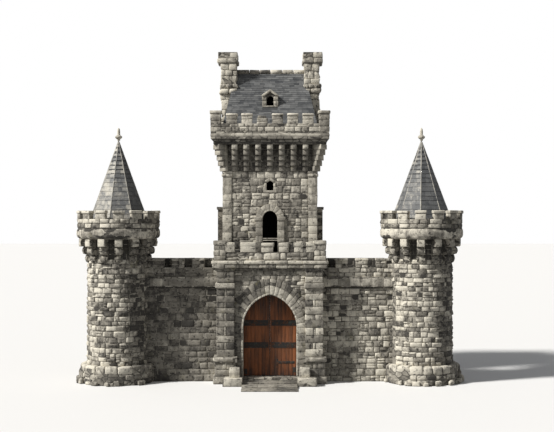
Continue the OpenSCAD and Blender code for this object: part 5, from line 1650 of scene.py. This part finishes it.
class GATEHOUSE_OT_roof(Build):
    """Lays the main roof: slates in rows on its four slopes, cut back along the hips and round
    the dormers and chimneys, and ridge stones as rounded blocks."""
    bl_idname = "gatehouse.roof"
    bl_label = "Main Roof"

    def build(self, s):
        pile, ridge = Pile(131), Pile(137)
        eave_wide, eave_deep, top = high("main_roof")
        foot, ridge_wide = high("roof_walk")[2], high("ridge_stones")[0]
        rise, hip = top - foot, eave_wide - ridge_wide
        dormer_half, _, dormer_top = high("dormers")
        dormer_half, dormer_low = dormer_half - 0.02, low("dormers")[2] - 0.10

        def dormer(t0, t1):
            """The span left free at a row: the dormer's, which narrows evenly above its eaves."""
            z0, z1 = foot + rise * t0, foot + rise * t1
            if z1 < dormer_low or z0 > dormer_top:
                return ()
            w = dormer_half * min(1.0, (dormer_top - z0) / DORMER_EAVE_DROP)
            return [(-w, w)]

        for front in (-1, 1):
            slope = tilted([0.0, front * eave_deep, foot], [-front, 0, 0], [0, -front * eave_deep, rise])
            self.rows(pile, s, slope, math.hypot(eave_deep, rise), lambda t: eave_wide - hip * t, dormer)
        for side in (-1, 1):
            slope = tilted([side * eave_wide, 0.0, foot], [0, side, 0], [-side * hip, 0, rise])
            self.rows(pile, s, slope, math.hypot(hip, rise), lambda t: eave_deep * (1 - t),
                      lambda *_: [(0.01 - CHIMNEY_HALF, CHIMNEY_HALF - 0.01)], end=0.72)
        self.add(pile, "roof_slates", "slate", "slate", smooth=False)
        # Ridge stones left of the middle are painted dark, as the left chimney's shadow
        for a, b in pairs(cuts(ridge.rng, -ridge_wide, ridge_wide, 0.72, 0.25)):
            ridge.blocks((a + 0.004, b - 0.004), (top - 0.13, top + 0.155), (-0.145, 0.145), facing(0),
                         np.array([0.02, 0.12, 0.12]), 0.012, tone=(0.92 if a + b > 0.0 else 0.30, 0.08))
        self.add(ridge, "ridge_pieces", "dressed", "dressed_stone", replaces=("ridge_stones",))

    def rows(self, pile, s, slope, reach, half_width, gaps, end=0.995):
        """Rows of slates up a slope; the joints of each row are set off from those below. Half
        widths and gaps are given at shares of the slope's reach."""
        rng = pile.rng
        rows = []
        narrowest, gap = 0.05, 0.005
        for z0, z1 in pairs(np.append(np.arange(0.0, reach * end - 0.05, s.slate_row), reach * end)):
            w0, w1 = half_width(z0 / reach), half_width(min(z1 / reach, 1.0))
            for a, b in free_spans(-w0, w0, gaps(z0 / reach, z1 / reach)):
                if b - a < narrowest:
                    continue
                edges = cuts(rng, a - rng.uniform(0.0, 0.2), b + rng.uniform(0.0, 0.2), s.slate_width, 0.35)
                for c, d in pairs(np.clip(edges, a, b)):
                    if d - c > 0.02:
                        upper = max(c, -w1) if c == -w0 else c, min(d, w1) if d == w0 else d
                        rows.append((c, d - gap, upper[0], upper[1] - gap, z0, z1 + 0.01))
        pile.slates(rows, slope, 0.024, 0.008, tone=(0.36, 0.60))


class GATEHOUSE_OT_chimneys(Build):
    """Lays the chimneys: irregular courses of whole stones round each flue, with a weathering
    that bulges part-way up, a thinner neck and a heavy cap in two courses."""
    bl_idname = "gatehouse.chimneys"
    bl_label = "Chimneys"

    def build(self, s):
        pile = Pile(139)
        top, outer = high("chimneys")[2], high("chimneys")[0] - 0.20
        neck = top - 0.64
        cap = neck + 0.28
        for side in (-1, 1):
            x, y = sided(side, outer - 0.84, outer), (-CHIMNEY_HALF, CHIMNEY_HALF)
            cap_x = (x[0] - (0.12 if side < 0 else 0.0), x[1] + (0.12 if side > 0 else 0.0))
            # Span along x, how much wider all round, span up, height of a course, swell,
            # rounding, wobble, tone
            for run, grow, z0, z1, course, swell, rounding, wobble, tone in (
                    (x, 0.0, 14.08, 16.64, 0.46, (0.008, 0.07), 0.05, 0.075, (0.88, 0.20)),
                    (x, 0.05, 16.64, 17.24, 0.28, (0.02, 0.13), 0.10, 0.085, (0.70, 0.36)),
                    (x, 0.0, 17.24, neck, 0.42, (0.008, 0.06), 0.05, 0.075, (0.88, 0.20)),
                    (cap_x, 0.09, neck, cap, 0.30, (0.01, 0.06), 0.06, 0.022, (0.60, 0.30)),
                    (cap_x, 0.07, cap, top, 0.36, (0.0, 0.05), 0.06, 0.022, (0.72, 0.26))):
                levels = cuts(pile.rng, z0, z1, course, 0.3)
                stones = pillar(pile.rng, (run[0] - grow, run[1] + grow), (y[0] - grow, y[1] + grow),
                                levels, 0.22 + grow, 0.5, swell)
                pile.blocks(*stones, world, rounding, wobble, tone=tone, size=0.32)
        self.add(pile, "chimney_stones", "bright", "rubble_stone")


class GATEHOUSE_OT_dormers(Build):
    """Lays the dormers: posts beside the window, a sill, and two sloping copings, all blocks.
    The one at the back has a shutter of three boards."""
    bl_idname = "gatehouse.dormers"
    bl_label = "Dormers"

    def build(self, s):
        pile, shutter = Pile(149), Pile(151)
        half, face, gable = high("dormers")
        sill, inner = low("dormers")[2], 0.20
        eave = gable - DORMER_EAVE_DROP
        drop = gable - eave
        slope = math.hypot(half, drop)
        for quarter in (0, 2):
            flat = facing(quarter)
            for side in (-1, 1):
                for z0, z1 in ((sill, sill + 0.36), (sill + 0.36, eave - 0.03)):
                    pile.blocks(sided(side, inner + 0.01, half + 0.005), (z0 + 0.003, z1 - 0.003),
                                (face - 0.45, face + 0.03), flat, 0.035, 0.012, tone=(0.66, 0.25))
                pitch = tilted(flat(np.array([0.0, gable + 0.02, 0.0])),
                               flat(np.array([side * half, -drop, 0.0])),
                               flat(np.array([side * drop, half, 0.0])))
                # Out on a coping's own plane is forwards on the right and backwards on the left
                pile.blocks((-0.02, slope + 0.03), (-0.08, 0.05), sided(side, face - 0.75, face + 0.08),
                            pitch, 0.035, 0.012, tone=(0.85, 0.12))
            pile.blocks((0.02 - half, half - 0.02), (sill - 0.02, sill + 0.08),
                        (face - 0.3, face + 0.04), flat, 0.03, 0.012, tone=(0.6, 0.15))
        boards = np.linspace(-inner, inner, 4)
        shutter.blocks(within(boards, 0.002), (sill + 0.08, eave - 0.03), (face - 0.20, face - 0.15),
                       facing(2), 0.006, 0.0, tone=(0.4, 0.2))
        self.add(pile, "dormer_stones", "dressed", "dressed_stone")
        self.add(shutter, "dormer_shutter", "oak", "oak_boards")


class GATEHOUSE_OT_stage(Operator):
    """Sets the studio: a plain floor, a white background, a large soft light to the upper left
    and a camera that stands level, far off and straight in front of the gate."""
    bl_idname = "gatehouse.stage"
    bl_label = "Studio"
    bl_options = {"REGISTER", "UNDO"}

    def execute(self, context):
        scene = context.scene
        studio = scene.gatehouse_studio
        self.floor(context, scene.gatehouse_colours)
        scene.world = self.background(studio.fill)
        lamp = bpy.data.lights.new("Key", "SUN")
        lamp.energy, lamp.angle, lamp.color = studio.key_power, studio.key_size, (1.0, 0.975, 0.93)
        key = bpy.data.objects.new("Key", lamp)
        key.rotation_euler = (math.pi / 2 - studio.key_lift, 0.0, -studio.key_turn)
        camera = bpy.data.objects.new("Camera", bpy.data.cameras.new("Camera"))
        camera.data.lens, camera.data.sensor_width, camera.data.clip_end = 69.6, 36.0, 500.0
        camera.location = (0.40, -64.2, 9.4)
        camera.rotation_euler = (math.pi / 2, 0.0, 0.0)
        for item in (key, camera):
            scene.collection.objects.link(item)
        scene.camera = camera
        scene.view_settings.view_transform = "Standard"
        return {"FINISHED"}

    def floor(self, context, c):
        """A wide plain floor, which shows paler than it lights the gatehouse."""
        bpy.ops.mesh.primitive_plane_add(size=600.0, location=(0.0, 0.0, -0.002))
        floor = context.object
        floor.name = "studio_floor"
        g = Graph(bpy.data.materials.new("Studio floor"))
        seen = g.node("LightPath", output="Is Camera Ray")
        floor.data.materials.append(g.done(g.mix(seen, c.bounce, c.studio), 0.95))

    def background(self, fill):
        """A world that is white where it is seen, straight or in a reflection, and otherwise
        lights the gatehouse from all round."""
        world_ = bpy.data.worlds.new("Studio")
        g = Graph(world_)
        g.tree.nodes.clear()
        seen, *others = (g.node("LightPath", output=f"Is {kind} Ray")
                         for kind in ("Camera", "Glossy", "Transmission"))
        for other in others:
            seen = seen.math("MAXIMUM", seen, other)
        lit = g.node("Background", None, {"Color": (0.95, 0.97, 1.0), "Strength": fill})
        white = g.node("Background", None, {"Color": (1.0, 1.0, 1.0), "Strength": 1.0})
        either = g.node("MixShader", None, {0: seen, 1: lit, 2: white})
        out = g.tree.nodes.new("ShaderNodeOutputWorld")
        g.tree.links.new(either.socket, out.inputs["Surface"])
        return world_


STEPS = (GATEHOUSE_OT_core, GATEHOUSE_OT_curtains, GATEHOUSE_OT_turrets, GATEHOUSE_OT_turret_heads,
         GATEHOUSE_OT_spires, GATEHOUSE_OT_tower, GATEHOUSE_OT_openings, GATEHOUSE_OT_machicolation,
         GATEHOUSE_OT_tower_battlement, GATEHOUSE_OT_block, GATEHOUSE_OT_buttresses,
         GATEHOUSE_OT_gate_arch, GATEHOUSE_OT_gate_battlement, GATEHOUSE_OT_steps,
         GATEHOUSE_OT_leaves, GATEHOUSE_OT_roof, GATEHOUSE_OT_chimneys, GATEHOUSE_OT_dormers,
         GATEHOUSE_OT_stage)


class GATEHOUSE_PT_panel(Panel):
    """Sizes, colours and the steps of the finish."""
    bl_idname = "GATEHOUSE_PT_panel"
    bl_label = "Gatehouse"
    bl_space_type = "VIEW_3D"
    bl_region_type = "UI"
    bl_category = "Gatehouse"

    def draw(self, context):
        scene = context.scene
        for group in (scene.gatehouse_sizes, scene.gatehouse_colours, scene.gatehouse_studio):
            column = self.layout.column(align=True)
            for name in group.bl_rna.properties.keys():
                if name not in ("rna_type", "name"):
                    column.prop(group, name)
        for step in STEPS:
            self.layout.operator(step.bl_idname)


CLASSES = (GatehouseSizes, GatehouseColours, GatehouseStudio, *STEPS, GATEHOUSE_PT_panel)


def register():
    """Registers the classes and hangs the sizes, the colours and the light on the scene."""
    for cls in CLASSES:
        bpy.utils.register_class(cls)
    bpy.types.Scene.gatehouse_sizes = PointerProperty(type=GatehouseSizes)
    bpy.types.Scene.gatehouse_colours = PointerProperty(type=GatehouseColours)
    bpy.types.Scene.gatehouse_studio = PointerProperty(type=GatehouseStudio)


def unregister():
    """Undoes register."""
    del bpy.types.Scene.gatehouse_studio
    del bpy.types.Scene.gatehouse_colours
    del bpy.types.Scene.gatehouse_sizes
    for cls in reversed(CLASSES):
        bpy.utils.unregister_class(cls)


def main():
    """Runs every step in order."""
    register()
    for step in STEPS:
        group, name = step.bl_idname.split(".")
        getattr(getattr(bpy.ops, group), name)()


if __name__ == "__main__":
    main()
